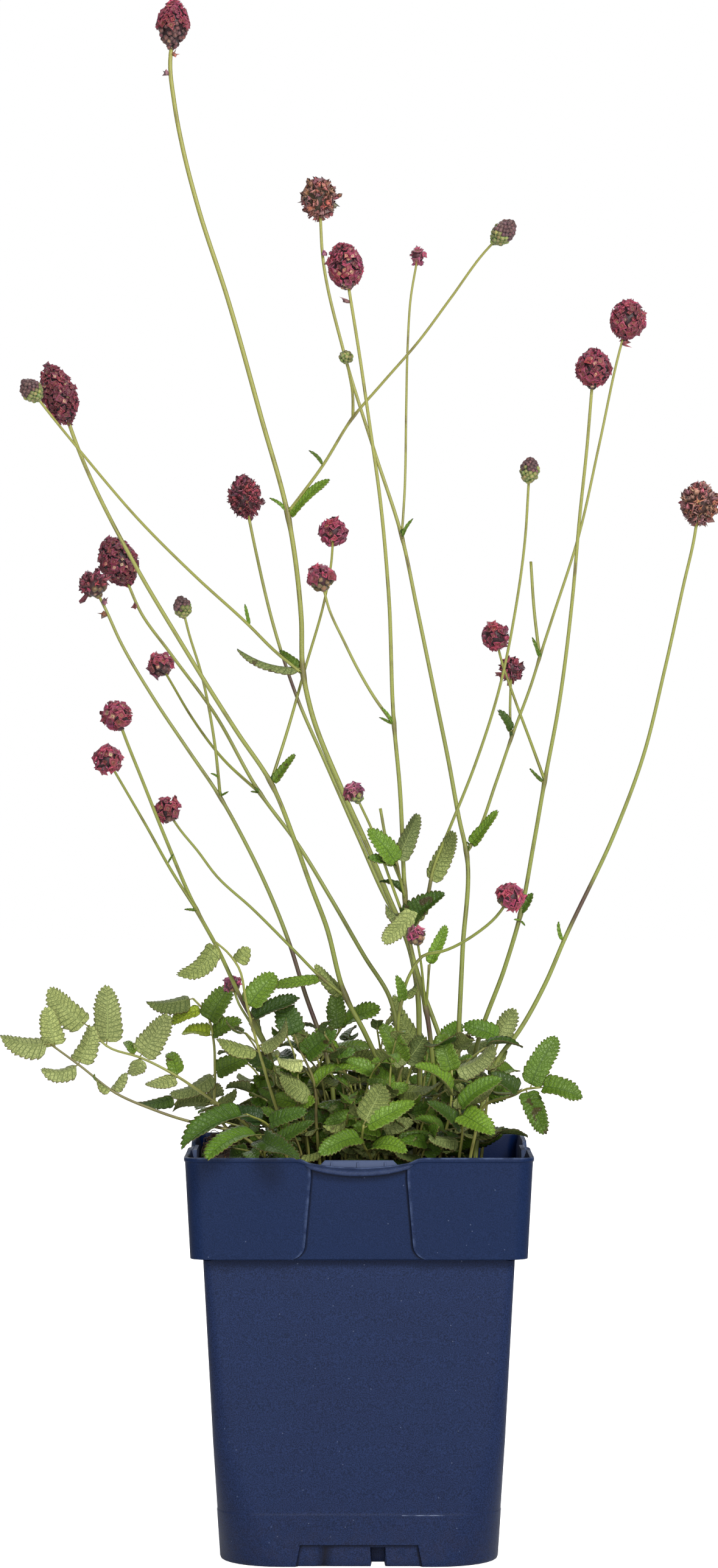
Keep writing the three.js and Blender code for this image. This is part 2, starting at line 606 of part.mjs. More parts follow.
// A round stalk along a path, its ring carried from point to point without twist.
function tube(points, radii, sides) {
  const side = new THREE.Vector3(0, 1, 0);
  const rings = points.map((point, index) => {
    const before = points[Math.max(index - 1, 0)];
    const after = points[Math.min(index + 1, points.length - 1)];
    const ahead = after.clone().sub(before).normalize();
    side.addScaledVector(ahead, -side.dot(ahead)).normalize();
    const other = new THREE.Vector3().crossVectors(ahead, side);
    return Array.from({ length: sides }, (_, step) => {
      const angle = step / sides * 2 * Math.PI;
      return point.clone()
        .addScaledVector(side, Math.cos(angle) * radii[index])
        .addScaledVector(other, Math.sin(angle) * radii[index]);
    });
  });
  return loft(rings, points[0], points.at(-1));
}

// How far along a path each point lies, from 0 at its start to 1 at its end.
function shares(points, distance) {
  const run = [0];
  for (let index = 1; index < points.length; index += 1) {
    run.push(run[index - 1] + distance(points[index - 1], points[index]));
  }
  return run.map((length) => length / run.at(-1));
}

function stalk(points, [thick, thin], sides) {
  const along = shares(points, (a, b) => a.distanceTo(b));
  return tube(points, along.map((share) => thick + (thin - thick) * share), sides);
}

// The blind hole in the soil round a stalk's foot.
function rootHole(points, radius, sides) {
  const ahead = points[1].clone().sub(points[0]).normalize();
  const bottom = points[0].clone().addScaledVector(ahead, -HOLE_CLEARANCE);
  const mouth = points[0].clone().addScaledVector(ahead, HOLE_REACH);
  const wide = radius + HOLE_CLEARANCE;
  return solid(tube([bottom, mouth], [wide, wide], sides));
}

// A toothed leaflet from its stalk to its tip: a thin blade folded up along the midrib and arched
// along its length, with its root sunk into the stalk. Both faces fan out from the middle of the
// rib in the same triangles.
function leaflet(base, tip, width, turn) {
  const length = base.distanceTo(tip);
  const teeth = length < SMALL_LEAFLET ? 2 : 3;
  const ahead = tip.clone().sub(base).normalize();
  const radians = THREE.MathUtils.degToRad(turn);
  const face = new THREE.Vector3(0, -Math.sin(radians), Math.cos(radians));
  face.addScaledVector(ahead, -face.dot(ahead)).normalize();
  const side = new THREE.Vector3().crossVectors(ahead, face);
  const place = (share, out) => base.clone()
    .addScaledVector(ahead, length * share)
    .addScaledVector(side, out)
    .addScaledVector(face, FOLD * Math.abs(out) + ARCH * length * 4 * share * (1 - share));
  const edge = Array.from({ length: 2 * teeth - 1 }, (_, step) => {
    const share = FIRST_TOOTH + (LAST_TOOTH - FIRST_TOOTH) * step / (2 * teeth - 2);
    const reach = step % 2 === 0 ? TOOTH_REACH : NOTCH_REACH;
    return [share, width / 2 * reach * (1 - share ** 3) ** 0.6];
  });
  const right = edge.map(([share, out]) => place(share, out));
  const left = edge.map(([share, out]) => place(share, -out)).reverse();
  const points = [place(0, 0), ...right, place(1, 0), ...left, place(RIB_MIDDLE, 0)];
  const rib = points.length - 1;
  const lower = points.length;
  const faces = [];
  for (let from = 0; from < rib; from += 1) {
    const to = (from + 1) % rib;
    faces.push(rib, from, to, lower + rib, lower + to, lower + from);
    faces.push(from, lower + from, lower + to, from, lower + to, to);
  }
  const shift = (amount) => points.flatMap((point) => (
    point.clone().addScaledVector(face, amount).toArray()));
  const geometry = new THREE.BufferGeometry();
  const places = [...shift(BLADE / 2), ...shift(-BLADE / 2)];
  geometry.setAttribute('position', new THREE.Float32BufferAttribute(places, 3));
  geometry.setIndex(faces);
  return geometry;
}

// A flower head: an egg whose surface stands out in staggered peaks, as its florets do.
function flowerHead(middle, axis, width, length, state) {
  const columns = width > 9.5 ? 12 : width > 7 ? 10 : 8;
  const rows = Math.max(4, Math.round(length / (width > 9.5 ? 2.2 : 1.9)));
  const raised = state === 'bud' || state === 'greenBud' ? 0.05 : 0.11;
  const side = new THREE.Vector3(0, 1, 0).addScaledVector(axis, -axis.y).normalize();
  const other = new THREE.Vector3().crossVectors(axis, side);
  const rings = Array.from({ length: rows }, (_, row) => {
    const share = (row + 0.6) / (rows + 0.2);
    const radius = width / 2 * Math.sin(Math.PI * share) ** 0.55;
    return Array.from({ length: columns }, (__, column) => {
      const angle = column / columns * 2 * Math.PI;
      const out = radius * ((row + column) % 2 === 0 ? 1 : 1 - 2 * raised);
      return middle.clone()
        .addScaledVector(axis, (share - 0.5) * length)
        .addScaledVector(side, Math.cos(angle) * out)
        .addScaledVector(other, Math.sin(angle) * out);
    });
  });
  const pole = (share) => middle.clone().addScaledVector(axis, share * length);
  return loft(rings, pole(-0.5), pole(0.5), true);
}

// A path's depth runs from its start to its end, leaning out more towards the tip.
function withDepth(path, from, to) {
  const along = shares(path, (a, b) => Math.hypot(b[0] - a[0], b[1] - a[1]));
  return path.map(([across, up], index) => [across, up, from + (to - from) * along[index] ** LEAN]);
}

function depthAt(line, up) {
  const after = Math.max(1, line.findIndex((point) => point[1] >= up));
  const [[, lowUp, low], [, highUp, high]] = [line[after - 1], line[after]];
  return THREE.MathUtils.mapLinear(THREE.MathUtils.clamp(up, lowUp, highUp), lowUp, highUp, low, high);
}

// Grows one stem or shoot with its own shoots, and gives its solids and the heads it carries.
function grow(plan, start, thickness) {
  const line = withDepth(plan.path, start, plan.depth.at?.(-1) ?? plan.depth);
  const points = line.map(seen);
  const heads = [];
  if (plan.head) {
    const [width, length, state] = plan.head;
    const middle = points.at(-1);
    const axis = middle.clone().sub(points.at(-2)).normalize();
    heads.push({ state, geometry: flowerHead(middle, axis, width, length, state) });
    points[points.length - 1] = middle.clone().addScaledVector(axis, -length / 2 - SEAT_GAP);
  }
  const sides = plan.depth.length ? STEM_SIDES : SHOOT_SIDES;
  const solids = [solid(stalk(points, plan.thick ?? thickness, sides))];
  for (const [across, up, tipAcross, tipUp, forward, width, turn] of plan.leaves ?? []) {
    const depth = depthAt(line, up);
    const tip = seen([tipAcross, tipUp, depth + forward]);
    solids.push(solid(leaflet(seen([across, up, depth]), tip, width, turn)));
  }
  for (const shoot of plan.shoots ?? []) {
    const child = grow(shoot, depthAt(line, shoot.path[0][1]), SHOOT_THICK);
    solids.push(...child.solids);
    heads.push(...child.heads);
  }
  return { points, solids, heads };
}

function pointAlong(points, share) {
  const along = shares(points, (a, b) => a.distanceTo(b));
  const after = Math.max(1, along.findIndex((value) => value >= share - 1e-9));
  const part = (share - along[after - 1]) / (along[after] - along[after - 1]);
  return points[after - 1].clone().lerp(points[after], part);
}

function frondOf({ petiole, leaflets }) {
  const points = petiole.map(seen);
  const blades = leaflets.map(([share, across, up, depth, width, turn]) => (
    leaflet(pointAlong(points, share), seen([across, up, depth]), width, turn)));
  return { points, solids: [stalk(points, PETIOLE_THICK, PETIOLE_SIDES), ...blades].map(solid) };
}

// A frond by rule: opposite pairs that point forward and out to both sides, and one at the tip.
function backFrondOf({ petiole, pairs, leaflet: length }) {
  const points = petiole.map(seen);
  const blades = [];
  for (let pair = 0; pair <= pairs; pair += 1) {
    const share = PAIR_FIRST + (1 - PAIR_FIRST) * pair / pairs;
    const base = pointAlong(points, share);
    const after = pointAlong(points, Math.min(share + 0.05, 1));
    const ahead = after.sub(pointAlong(points, share - 0.05)).normalize();
    const out = new THREE.Vector3(ahead.y, -ahead.x, 0).normalize();
    const size = length * (0.75 + 0.25 * Math.sin(Math.PI * (pair + 0.5) / (pairs + 1)));
    const ways = pair === pairs ? [0] : [1, -1];
    for (const way of ways) {
      const toTip = ahead.clone().multiplyScalar(way === 0 ? 1 : PAIR_FORWARD).addScaledVector(out, way);
      const tip = base.clone().addScaledVector(toTip.setZ(toTip.z * 0.5 - 0.12).normalize(), size);
      blades.push(leaflet(base, tip, size * PAIR_WIDTH, 0));
    }
  }
  return { points, solids: [stalk(points, PETIOLE_THICK, PETIOLE_SIDES), ...blades].map(solid) };
}

function named(name, geometry, colour, roughness) {
  const material = new THREE.MeshStandardMaterial({ color: colour, roughness, metalness: 0 });
  const mesh = new THREE.Mesh(geometry, material);
  mesh.name = name;
  return mesh;
}

function numbered(name, index) {
  return `${name}_${String(index + 1).padStart(2, '0')}`;
}

const stems = STEMS.map((plan) => grow(plan, plan.depth[0], plan.thick ?? STEM_THICK));
const fronds = [...FRONDS.map(frondOf), ...BACK_FRONDS.map(backFrondOf)];
const holes = [
  ...stems.map((stem, index) => rootHole(stem.points, (STEMS[index].thick ?? STEM_THICK)[0], STEM_SIDES)),
  ...fronds.map((frond) => rootHole(frond.points, PETIOLE_THICK[0], PETIOLE_SIDES)),
];

const group = new THREE.Group();
group.name = 'potted_tanna_great_burnet';
group.add(named('pot', geometryOf(pot()), COLOURS.pot, 0.5));
group.add(named('soil', geometryOf(soil(holes)), COLOURS.soil, 1));
stems.forEach((stem, index) => {
  group.add(named(numbered('stem', index), geometryOf(joined(stem.solids)), COLOURS.stem, 0.6));
});
stems.flatMap((stem) => stem.heads).forEach(({ state, geometry }, index) => {
  group.add(named(numbered('head', index), geometry, COLOURS[state], 0.8));
});
fronds.forEach((frond, index) => {
  const colour = index % 3 === 1 ? COLOURS.paleLeaf : COLOURS.leaf;
  group.add(named(numbered('frond', index), geometryOf(joined(frond.solids)), colour, 0.6));
});

export default group;
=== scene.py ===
import math

import bpy
import numpy as np
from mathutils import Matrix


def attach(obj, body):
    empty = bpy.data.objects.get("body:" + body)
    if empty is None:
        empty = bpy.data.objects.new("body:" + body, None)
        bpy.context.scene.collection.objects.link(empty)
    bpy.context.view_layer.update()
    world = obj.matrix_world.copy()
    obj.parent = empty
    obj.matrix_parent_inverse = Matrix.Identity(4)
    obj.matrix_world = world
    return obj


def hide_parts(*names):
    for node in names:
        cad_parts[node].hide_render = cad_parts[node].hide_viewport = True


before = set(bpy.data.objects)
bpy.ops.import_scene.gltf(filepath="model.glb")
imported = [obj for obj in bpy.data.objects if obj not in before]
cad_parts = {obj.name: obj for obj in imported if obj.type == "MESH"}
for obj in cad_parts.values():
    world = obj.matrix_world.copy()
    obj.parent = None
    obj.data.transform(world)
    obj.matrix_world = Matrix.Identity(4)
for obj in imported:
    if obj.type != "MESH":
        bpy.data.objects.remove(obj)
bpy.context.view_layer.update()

# The camera looks level along +Y at the middle of the plant, as the photograph was taken. The plant's
# places further down are given as they are seen from there, in millimetres: [across, up, depth].
EYE_DISTANCE = 1555
EYE_HEIGHT = 250
PICTURE_HEIGHT = 515.2
SENSOR = 36

camera = bpy.data.objects.new("camera", bpy.data.cameras.new("camera"))
camera.data.sensor_width = SENSOR
camera.data.lens = SENSOR * EYE_DISTANCE / PICTURE_HEIGHT
camera.location = (0, -EYE_DISTANCE / 1000, EYE_HEIGHT / 1000)
camera.rotation_euler = (math.pi / 2, 0, 0)
bpy.context.scene.collection.objects.link(camera)
bpy.context.scene.camera = camera

# The pot is one injection moulding in dark blue polypropylene, with walls about a millimetre thick.
# Its body tapers down to four feet, and its collar has two flaps a side with a thin panel between
# them, under a rim that dips to a rolled lip. A ribbed tongue stands behind each lip.
POT_HEIGHT = 131.5
RIM_HALF = 55.4
COLLAR_BOTTOM = 99
COLLAR_HALF = 53.7
COLLAR_CORNER = 5
BODY_TOP_HALF = 49.7
BASE_HALF = 44.7
BODY_CORNERS = [[0, 20], [17, 13.5], [40, 6], [98.5, 2.6]]
FLOOR_UNDER = 7
FLOOR_TOP = 8.5
PANEL_DEPTH = 1
PANEL_TOP = 124.5
# Half the width of what lies in the middle of each side, at each height: the foot's notch, nothing,
# and then the panel, whose lower corners follow the round of the flaps.
MIDDLE_HALF = [[0, 20.2], [FLOOR_UNDER, 18.8], [COLLAR_BOTTOM, 22], [104, 17], [PANEL_TOP, 15.2]]
FLAP_ROUND = 5
DIP_FLOOR = 128.4
DIP_HALF = [15.5, 20.5]
DIP_BOW = 1.75
LIP_HALF = 17
LIP_HEIGHTS = [125.75, 127.8]
LIP_BOW = 2.4
LIP_DEPTHS = [53.9, 57.2]
TONGUE_HALF = 13
TONGUE_HEIGHTS = [126.3, 130.6]
TONGUE_CHAMFER = 2.2
TONGUE_FACES = [54.3, 52.9]
TONGUE_BOW = 1.4
TONGUE_BEVEL = 0.3
TONGUE_RIBS = [-8.7, -0.4, 8.3]
RIB_HALVES = [0.35, 0.3]
RIB_TOP_GAP = 0.5
RIB_OUT = 0.5
RIB_SUNK = 0.1
RIB_BEVEL = 0.15
NOTCH_DEPTH = 1.3
SLOT_SHARES = [0.195, 0.436]
SLOT_HEIGHT = 6.2
# How far in the slot lies, on the inside of the skirt and on the outside.
SLOT_DEPTHS = [10.2, 9]
SEAM_SHARE = -0.564
SEAM_DEPTH = 0.3
STEP_HEIGHT = 17
STEP_OUT = 0.14
RIM_BAND = 1.3
RIM_BAND_OUT = 0.28

# The columns of the pot's grid on one side: as shares of the middle's half width, then in
# millimetres either side of its edge, then as shares of the way from there to the corner.
INNER_SHARES = np.array([-0.95, -0.85, -0.7, -0.572, -0.556, -0.4, -0.25, -0.1, 0.03, 0.12, 0.187, 0.203,
                         0.3, 0.428, 0.444, 0.58, 0.72, 0.85, 0.95])
EDGE_STEPS = np.array([-0.35, -0.12, 0.12, 0.35])
OUTER_SHARES = np.array([0.025, 0.055, 0.085, 0.115, 0.145, 0.175, 0.21, 0.26, 0.34, 0.45, 0.58, 0.72,
                         0.85, 0.95, 1])
CORNER_COLUMNS = 7


def smooth_step(value, low, high):
    """Runs from 0 at low to 1 at high along 3t squared less 2t cubed."""
    share = np.clip((value - low) / (high - low), 0, 1)
    return share * share * (3 - 2 * share)


def grid_faces(rows, columns, around):
    """Quads between neighbouring rows and columns. They face out of a ring that runs anticlockwise
    while its rows climb. With around on, the last column joins the first."""
    index = np.arange(rows * columns).reshape(rows, columns)
    if around:
        index = np.hstack([index, index[:, :1]])
    return np.stack([index[:-1, :-1], index[:-1, 1:], index[1:, 1:], index[1:, :-1]], -1).reshape(-1, 4)


def loft_faces(rows, columns):
    """Quads round a stack of rings, and at each end triangles to a pole. The two poles come after the
    rings' points, first end first. A triangle has -1 as its fourth corner."""
    ring = np.arange(columns)
    after = np.roll(ring, -1)
    top = (rows - 1) * columns
    none = np.full(columns, -1)
    first = np.stack([np.full(columns, rows * columns), after, ring, none], -1)
    last = np.stack([np.full(columns, rows * columns + 1), top + ring, top + after, none], -1)
    return np.concatenate([grid_faces(rows, columns, True), first, last])


def square_rings(half, corner, edge):
    """Level squares with rounded corners, one row each, anticlockwise from above: a straight with a
    denser stretch at the edge of its middle, and a quarter circle. Near a pole, where the middle is
    narrow, that stretch shrinks with it. Gives how far along its side each point lies, which is far
    off in a corner, and the plan places and outward directions."""
    flat = half - corner
    close = np.minimum(1, edge / 8)
    first = edge + 0.4 * close
    right = np.hstack([edge + EDGE_STEPS * close, first + (flat - first) * OUTER_SHARES])
    across = np.hstack([-right[:, ::-1], edge * INNER_SHARES, right])
    angles = np.radians(90 * np.arange(1, CORNER_COLUMNS + 1) / (CORNER_COLUMNS + 1) - 90)
    x = np.hstack([across, flat + corner * np.cos(angles)])
    y = np.hstack([-half + 0 * across, -flat + corner * np.sin(angles)])
    out_x = np.hstack([0 * across, np.cos(angles) + 0 * flat])
    out_y = np.hstack([0 * across - 1, np.sin(angles) + 0 * flat])
    along = np.hstack([across, np.full((len(flat), CORNER_COLUMNS), 1e3)])

    def four(a, b):
        """One side's places, and the same turned by one, two and three quarters."""
        return np.stack([np.hstack([a, -b, -a, b]), np.hstack([b, a, -b, -a])], -1)

    return np.tile(along, 4), four(x, y), four(out_x, out_y)


def smooth_piece(name, patches, materials, nodes, sharp=None):
    """Joins patches into one mesh in metres, which rides on the root in place of the named solids. A
    patch is its points in mm, its faces, a mark and a tint of three numbers for each point, and the
    number of its material. Edges over the sharp angle, in degrees, aren't smoothed."""
    shifts = np.cumsum([0] + [len(patch[0]) for patch in patches[:-1]])
    points = np.concatenate([patch[0] for patch in patches]) / 1000
    faces = np.concatenate([np.where(patch[1] < 0, -1, patch[1] + shift)
                            for patch, shift in zip(patches, shifts)])
    numbers = np.concatenate([np.full(len(patch[1]), patch[4]) for patch in patches])
    three = faces[:, 3] < 0
    mesh = bpy.data.meshes.new(name)
    mesh.from_pydata(points.tolist(), [], faces[~three].tolist() + faces[three, :3].tolist())
    for material in materials:
        mesh.materials.append(material)
    mesh.polygons.foreach_set("material_index", np.concatenate([numbers[~three], numbers[three]]))
    for number, attribute in ((2, "marks"), (3, "tint")):
        values = np.concatenate([np.broadcast_to(patch[number], (len(patch[0]), 3)) for patch in patches])
        mesh.attributes.new(attribute, "FLOAT_VECTOR", "POINT").data.foreach_set("vector", values.ravel())
    mesh.shade_smooth()
    if sharp:
        mesh.set_sharp_from_angle(angle=math.radians(sharp))
    piece = bpy.data.objects.new(name, mesh)
    bpy.context.scene.collection.objects.link(piece)
    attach(piece, "root")
    if nodes:
        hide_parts(*nodes)
    return piece


def middle_half(up):
    """Half the width of the side's middle at each height: straight between the listed heights, and a
    quarter circle where the flaps' lower corners are round."""
    heights, halves = np.array(MIDDLE_HALF).T
    round_up = COLLAR_BOTTOM + FLAP_ROUND
    drop = np.clip(round_up - up, 0, FLAP_ROUND)
    curve = halves[3] + FLAP_ROUND - np.sqrt(FLAP_ROUND ** 2 - drop ** 2)
    straight = np.interp(up, heights, halves)
    return np.where((up > COLLAR_BOTTOM - 0.5) & (up < round_up), curve, straight)


def rim_height(along):
    """The rim's height: level, then down an S-curve to the bowed floor of the dip."""
    place = np.abs(along)
    floor = DIP_FLOOR + DIP_BOW * np.clip(place / LIP_HALF, 0, 1.2) ** 2
    return floor + (POT_HEIGHT - floor) * smooth_step(place, *DIP_HALF)


def pot_shell():
    """One grid from the middle of the floor's underside out, down the skirt, up the outside, over
    the rim, down the inside and to the middle of the floor. What is moulded in the middle of each
    side moves the points of the outside in or out. The marks are wear, which at the rim and along
    the flaps' edges is partly a painted highlight, and 1 on the inside. The tint is painted shade in
    the crevices, and painted shade that deepens the blue of the collar."""
    # The outside of the body from its chamfered foot up.
    body_up = [0, 0.12, 0.4, 0.8, 2, 3.6, 5.4, 6.05, 6.35, 6.9, 7.2, 8, 11, 14, 16.5, 16.85, 17.15, 17.5, 20,
               25, 31, 40, 50, 60, 70, 80, 90, 96, 98.3]
    chamfer = np.interp(body_up, [0, 0.12, 0.4, 0.8], [0.8, 0.45, 0.15, 0])
    body_half = np.interp(body_up, [0, COLLAR_BOTTOM], [BASE_HALF, BODY_TOP_HALF]) - chamfer
    body_corner = np.interp(body_up, *np.array(BODY_CORNERS).T) - chamfer
    # The collar, with its underside, the round of its flaps, and its band and edge at the top.
    flap_up = COLLAR_BOTTOM + FLAP_ROUND * (1 - np.sin(np.radians([78, 64, 50, 36, 22, 10, 0])))
    collar_up = np.concatenate([[98.75, 98.9, 98.95, 99.02, 99.2], flap_up, [107, 111, 115, 119, 121.5],
                                np.arange(122.6, 129.8, 0.6), [130.1, 130.28, 130.9, 131.35, 131.5]])
    collar_half = np.interp(collar_up, [COLLAR_BOTTOM, POT_HEIGHT], [COLLAR_HALF, RIM_HALF])
    collar_half[:4] -= [3.8, 2, 0.5, 0.12]
    collar_half[-2:] -= [0.08, 0.3]
    collar_corner = np.full(len(collar_up), COLLAR_CORNER)
    # The inside, from the rim down past the shelf behind the collar and in over the floor.
    inside_up = np.array([131.5, 131.35, 130.5, 127.5, 122, 115, 108, 102.5, 101, 90, 70, 55, 40, 28, 17, 11,
                          FLOOR_TOP, FLOOR_TOP, FLOOR_TOP])
    inside_half = np.interp(inside_up, [FLOOR_TOP, 101, 102.5, 127.5, 130.5, 131.35, 131.5],
                            [44.0, 48.5, 51.9, 53.2, 54.05, 54.3, 54.6])
    inside_half[-2:] = [30, 12]
    inside_corner = np.interp(inside_up, [FLOOR_TOP, 17, 40, 101, 102.5], [15.5, 12.3, 4.8, 1.8, 3])
    inside_corner[-2:] = [8, 3]
    # The floor's underside, from its middle out and down the inside of the feet.
    under_up = np.array([FLOOR_UNDER, FLOOR_UNDER, FLOOR_UNDER, 6.6, SLOT_HEIGHT + 0.15, SLOT_HEIGHT - 0.15,
                         3, 0])
    under_half = np.array([8, 24, 41.5, 42.3, 42.3, 42.3, 42.2, 42.1])
    under_corner = np.array([3, 12, 19.5, 20, 20, 20, 20, 20])
    up = np.concatenate([under_up, body_up, collar_up, inside_up])
    half = np.concatenate([under_half, body_half, collar_half, inside_half])
    corner = np.concatenate([under_corner, body_corner, collar_corner, inside_corner])
    part = np.repeat([0, 1, 2, 3], [len(under_up), len(body_up), len(collar_up), len(inside_up)])[:, None]
    up, half, corner = up[:, None], half[:, None], corner[:, None]
    edge = np.minimum(middle_half(up), 0.85 * (half - corner))
    along, plan, out = square_rings(half, corner, edge)
    from_edge = edge - np.abs(along)
    within = smooth_step(from_edge, -0.15, 0.2)
    share = along / edge
    collar = part == 2
    dip = np.clip((up - PANEL_TOP) / (POT_HEIGHT - PANEL_TOP), 0, 1) * (part >= 2)
    height = up + dip * (rim_height(along) - POT_HEIGHT)
    lip_low = LIP_HEIGHTS[0] + LIP_BOW * np.clip(along / LIP_HALF, -1, 1) ** 2
    foot = (part < 2) & (up < FLOOR_UNDER + 0.1)
    panel = within * collar * (up > COLLAR_BOTTOM - 0.2) * smooth_step(height, lip_low + 1.4, lip_low + 0.6)
    slot = foot * (up < SLOT_HEIGHT) * (share > SLOT_SHARES[0]) * (share < SLOT_SHARES[1])
    seam = foot * (part == 1) * (np.abs(share - SEAM_SHARE) < 0.01)
    notch = within * foot * (part == 1)
    slot_depth = np.where(part == 0, *SLOT_DEPTHS)
    band = collar * smooth_step(up, POT_HEIGHT - RIM_BAND - 0.15, POT_HEIGHT - RIM_BAND + 0.05)
    foot_step = STEP_OUT * (part == 1) * smooth_step(up, STEP_HEIGHT + 0.1, STEP_HEIGHT - 0.1)
    offset = (RIM_BAND_OUT * band + foot_step - PANEL_DEPTH * panel - NOTCH_DEPTH * notch
              - slot_depth * slot - SEAM_DEPTH * seam)
    plan = plan + out * offset[..., None]
    points = np.concatenate([plan, height[..., None]], -1).reshape(-1, 3)
    poles = [[0, 0, FLOOR_UNDER], [0, 0, FLOOR_TOP]]
    # The rim's top and the flaps' edges are paler: partly wear and partly a painted highlight.
    near_rim = smooth_step(height, rim_height(along) - 0.5, rim_height(along)) * (part >= 2)
    wear_and_highlight = np.maximum(near_rim, 0.5 * collar * np.exp(-((from_edge + 0.3) / 0.25) ** 2))
    inner = (part == 3) + 0 * along
    marks = np.stack([wear_and_highlight, inner, 0 * along], -1).reshape(-1, 3)
    # Painted shade: darker beside the flaps' edges, under the lip, round the feet's notches, under the
    # collar, under the rim band and in the mould seam.
    beside_flap = panel * np.exp(-((from_edge - 0.25) / 0.3) ** 2)
    under_lip = panel * np.exp(-(np.maximum(lip_low - height, 0) / 0.8) ** 2)
    round_notch = notch * np.maximum(np.exp(-((from_edge - 0.25) / 0.3) ** 2), smooth_step(up, 6.2, 6.8))
    under_collar = 0.6 * (part == 1) * smooth_step(up, 96, 98.3)
    under_band = 0.35 * collar * np.exp(-((up - POT_HEIGHT + RIM_BAND + 0.2) / 0.16) ** 2) * (1 - within)
    painted_shade_places = [beside_flap, under_lip, round_notch, under_collar, under_band, seam]
    painted_crevice_shade = np.max(np.broadcast_arrays(*painted_shade_places), 0)
    # The collar is painted a deeper blue, as painted shade.
    fresh = 0.5 * collar * (1 - wear_and_highlight)
    tint = np.stack([painted_crevice_shade, fresh, 0 * along], -1).reshape(-1, 3)
    marks = np.concatenate([marks, [[0, 0, 0], [0, 1, 0]]])
    tint = np.concatenate([tint, np.zeros((2, 3))])
    return np.concatenate([points, poles]), loft_faces(*along.shape), marks, tint, 0


def turned(points, quarter):
    """The points turned about the upright axis by so many quarter turns."""
    for _ in range(quarter):
        points = np.stack([-points[:, 1], points[:, 0], points[:, 2]], -1)
    return points


def lip_bead():
    """A rounded oblong carried along a bow, and drawn in to both ends."""
    steps, around = 25, 16
    share = np.linspace(-1, 1, steps)[:, None]
    angle = np.linspace(0, 2 * np.pi, around, endpoint=False)[None, :]
    swell = (1 - 0.3 * share ** 4) * np.sqrt(np.clip(1.02 - np.abs(share) ** 30, 0.02, 1))
    low, high = LIP_HEIGHTS
    front = np.sign(np.cos(angle)) * np.abs(np.cos(angle)) ** 0.75
    rise = np.sign(np.sin(angle)) * np.abs(np.sin(angle)) ** 0.85
    middle_depth = sum(LIP_DEPTHS) / 2
    half_depth = (LIP_DEPTHS[1] - LIP_DEPTHS[0]) / 2
    x = share * LIP_HALF + 0 * angle
    y = -middle_depth - half_depth * swell * front
    z = (low + high) / 2 + LIP_BOW * share ** 2 + (high - low) / 2 * swell * rise - 0.18 * swell * front
    rings = np.stack([x, y, z], -1)
    poles = rings[[0, -1]].mean(1)
    return np.concatenate([rings.reshape(-1, 3), poles]), loft_faces(steps, around)


def upright_slab(outline, faces, bevel):
    """An outline in [across, up] between two depths, its front edge bevelled: three rings of the
    outline, the first drawn in towards its middle, and both ends closed on poles."""
    outline = np.array(outline, float)
    middle = outline.mean(0)
    size = np.abs(outline - middle).max(0)
    drawn = middle + (outline - middle) * (1 - bevel / size)
    front, back = faces
    rings = [np.insert(drawn, 1, -front, 1), np.insert(outline, 1, bevel - front, 1),
             np.insert(outline, 1, -back, 1)]
    poles = [[middle[0], -front, middle[1]], [middle[0], -back, middle[1]]]
    return np.concatenate([*rings, poles]), loft_faces(3, len(outline))


def tongue_parts():
    """The tongue's plate with its two cut corners, whose foot bows up with the lip, and the three
    ribs on its face."""
    low, high = TONGUE_HEIGHTS
    foot = [[share * TONGUE_HALF, low + TONGUE_BOW * share ** 2] for share in (-1, -0.5, 0, 0.5, 1)]
    cut = TONGUE_HALF - TONGUE_CHAMFER
    plate = [*foot, [TONGUE_HALF, high - TONGUE_CHAMFER], [cut, high], [-cut, high],
             [-TONGUE_HALF, high - TONGUE_CHAMFER]]
    made = [upright_slab(plate, TONGUE_FACES, TONGUE_BEVEL)]
    wide, narrow = RIB_HALVES
    top = high - RIB_TOP_GAP
    for across in TONGUE_RIBS:
        rib = [[across - wide, low], [across + wide, low], [across + narrow, top], [across - narrow, top]]
        made.append(upright_slab(rib, [TONGUE_FACES[0] + RIB_OUT, TONGUE_FACES[0] - RIB_SUNK], RIB_BEVEL))
    return made


def linear(hex_colour):
    """An sRGB hex colour as linear red, green, blue and 1: each part over 12.92 where it is dark, and
    ((part + 0.055) / 1.055) to the power 2.4 where it is light."""
    parts = [int(hex_colour[i:i + 2], 16) / 255 for i in (1, 3, 5)]
    return (*[p / 12.92 if p <= 0.04045 else ((p + 0.055) / 1.055) ** 2.4 for p in parts], 1)


def add(material, kind, inputs, output=0, **settings):
    """Adds one node with its settings and inputs, each a value or another node's output, and gives
    one of its outputs."""
    node = material.node_tree.nodes.new(kind)
    for name, value in settings.items():
        setattr(node, name, value)
    for name, value in inputs.items():
        if isinstance(value, bpy.types.NodeSocket):
            material.node_tree.links.new(value, node.inputs[name])
        else:
            node.inputs[name].default_value = value
    return node.outputs[output] if node.outputs else None


def new_material(name):
    """An empty node material."""
    material = bpy.data.materials.new(name)
    material.use_nodes = True
    material.node_tree.nodes.clear()
    return material
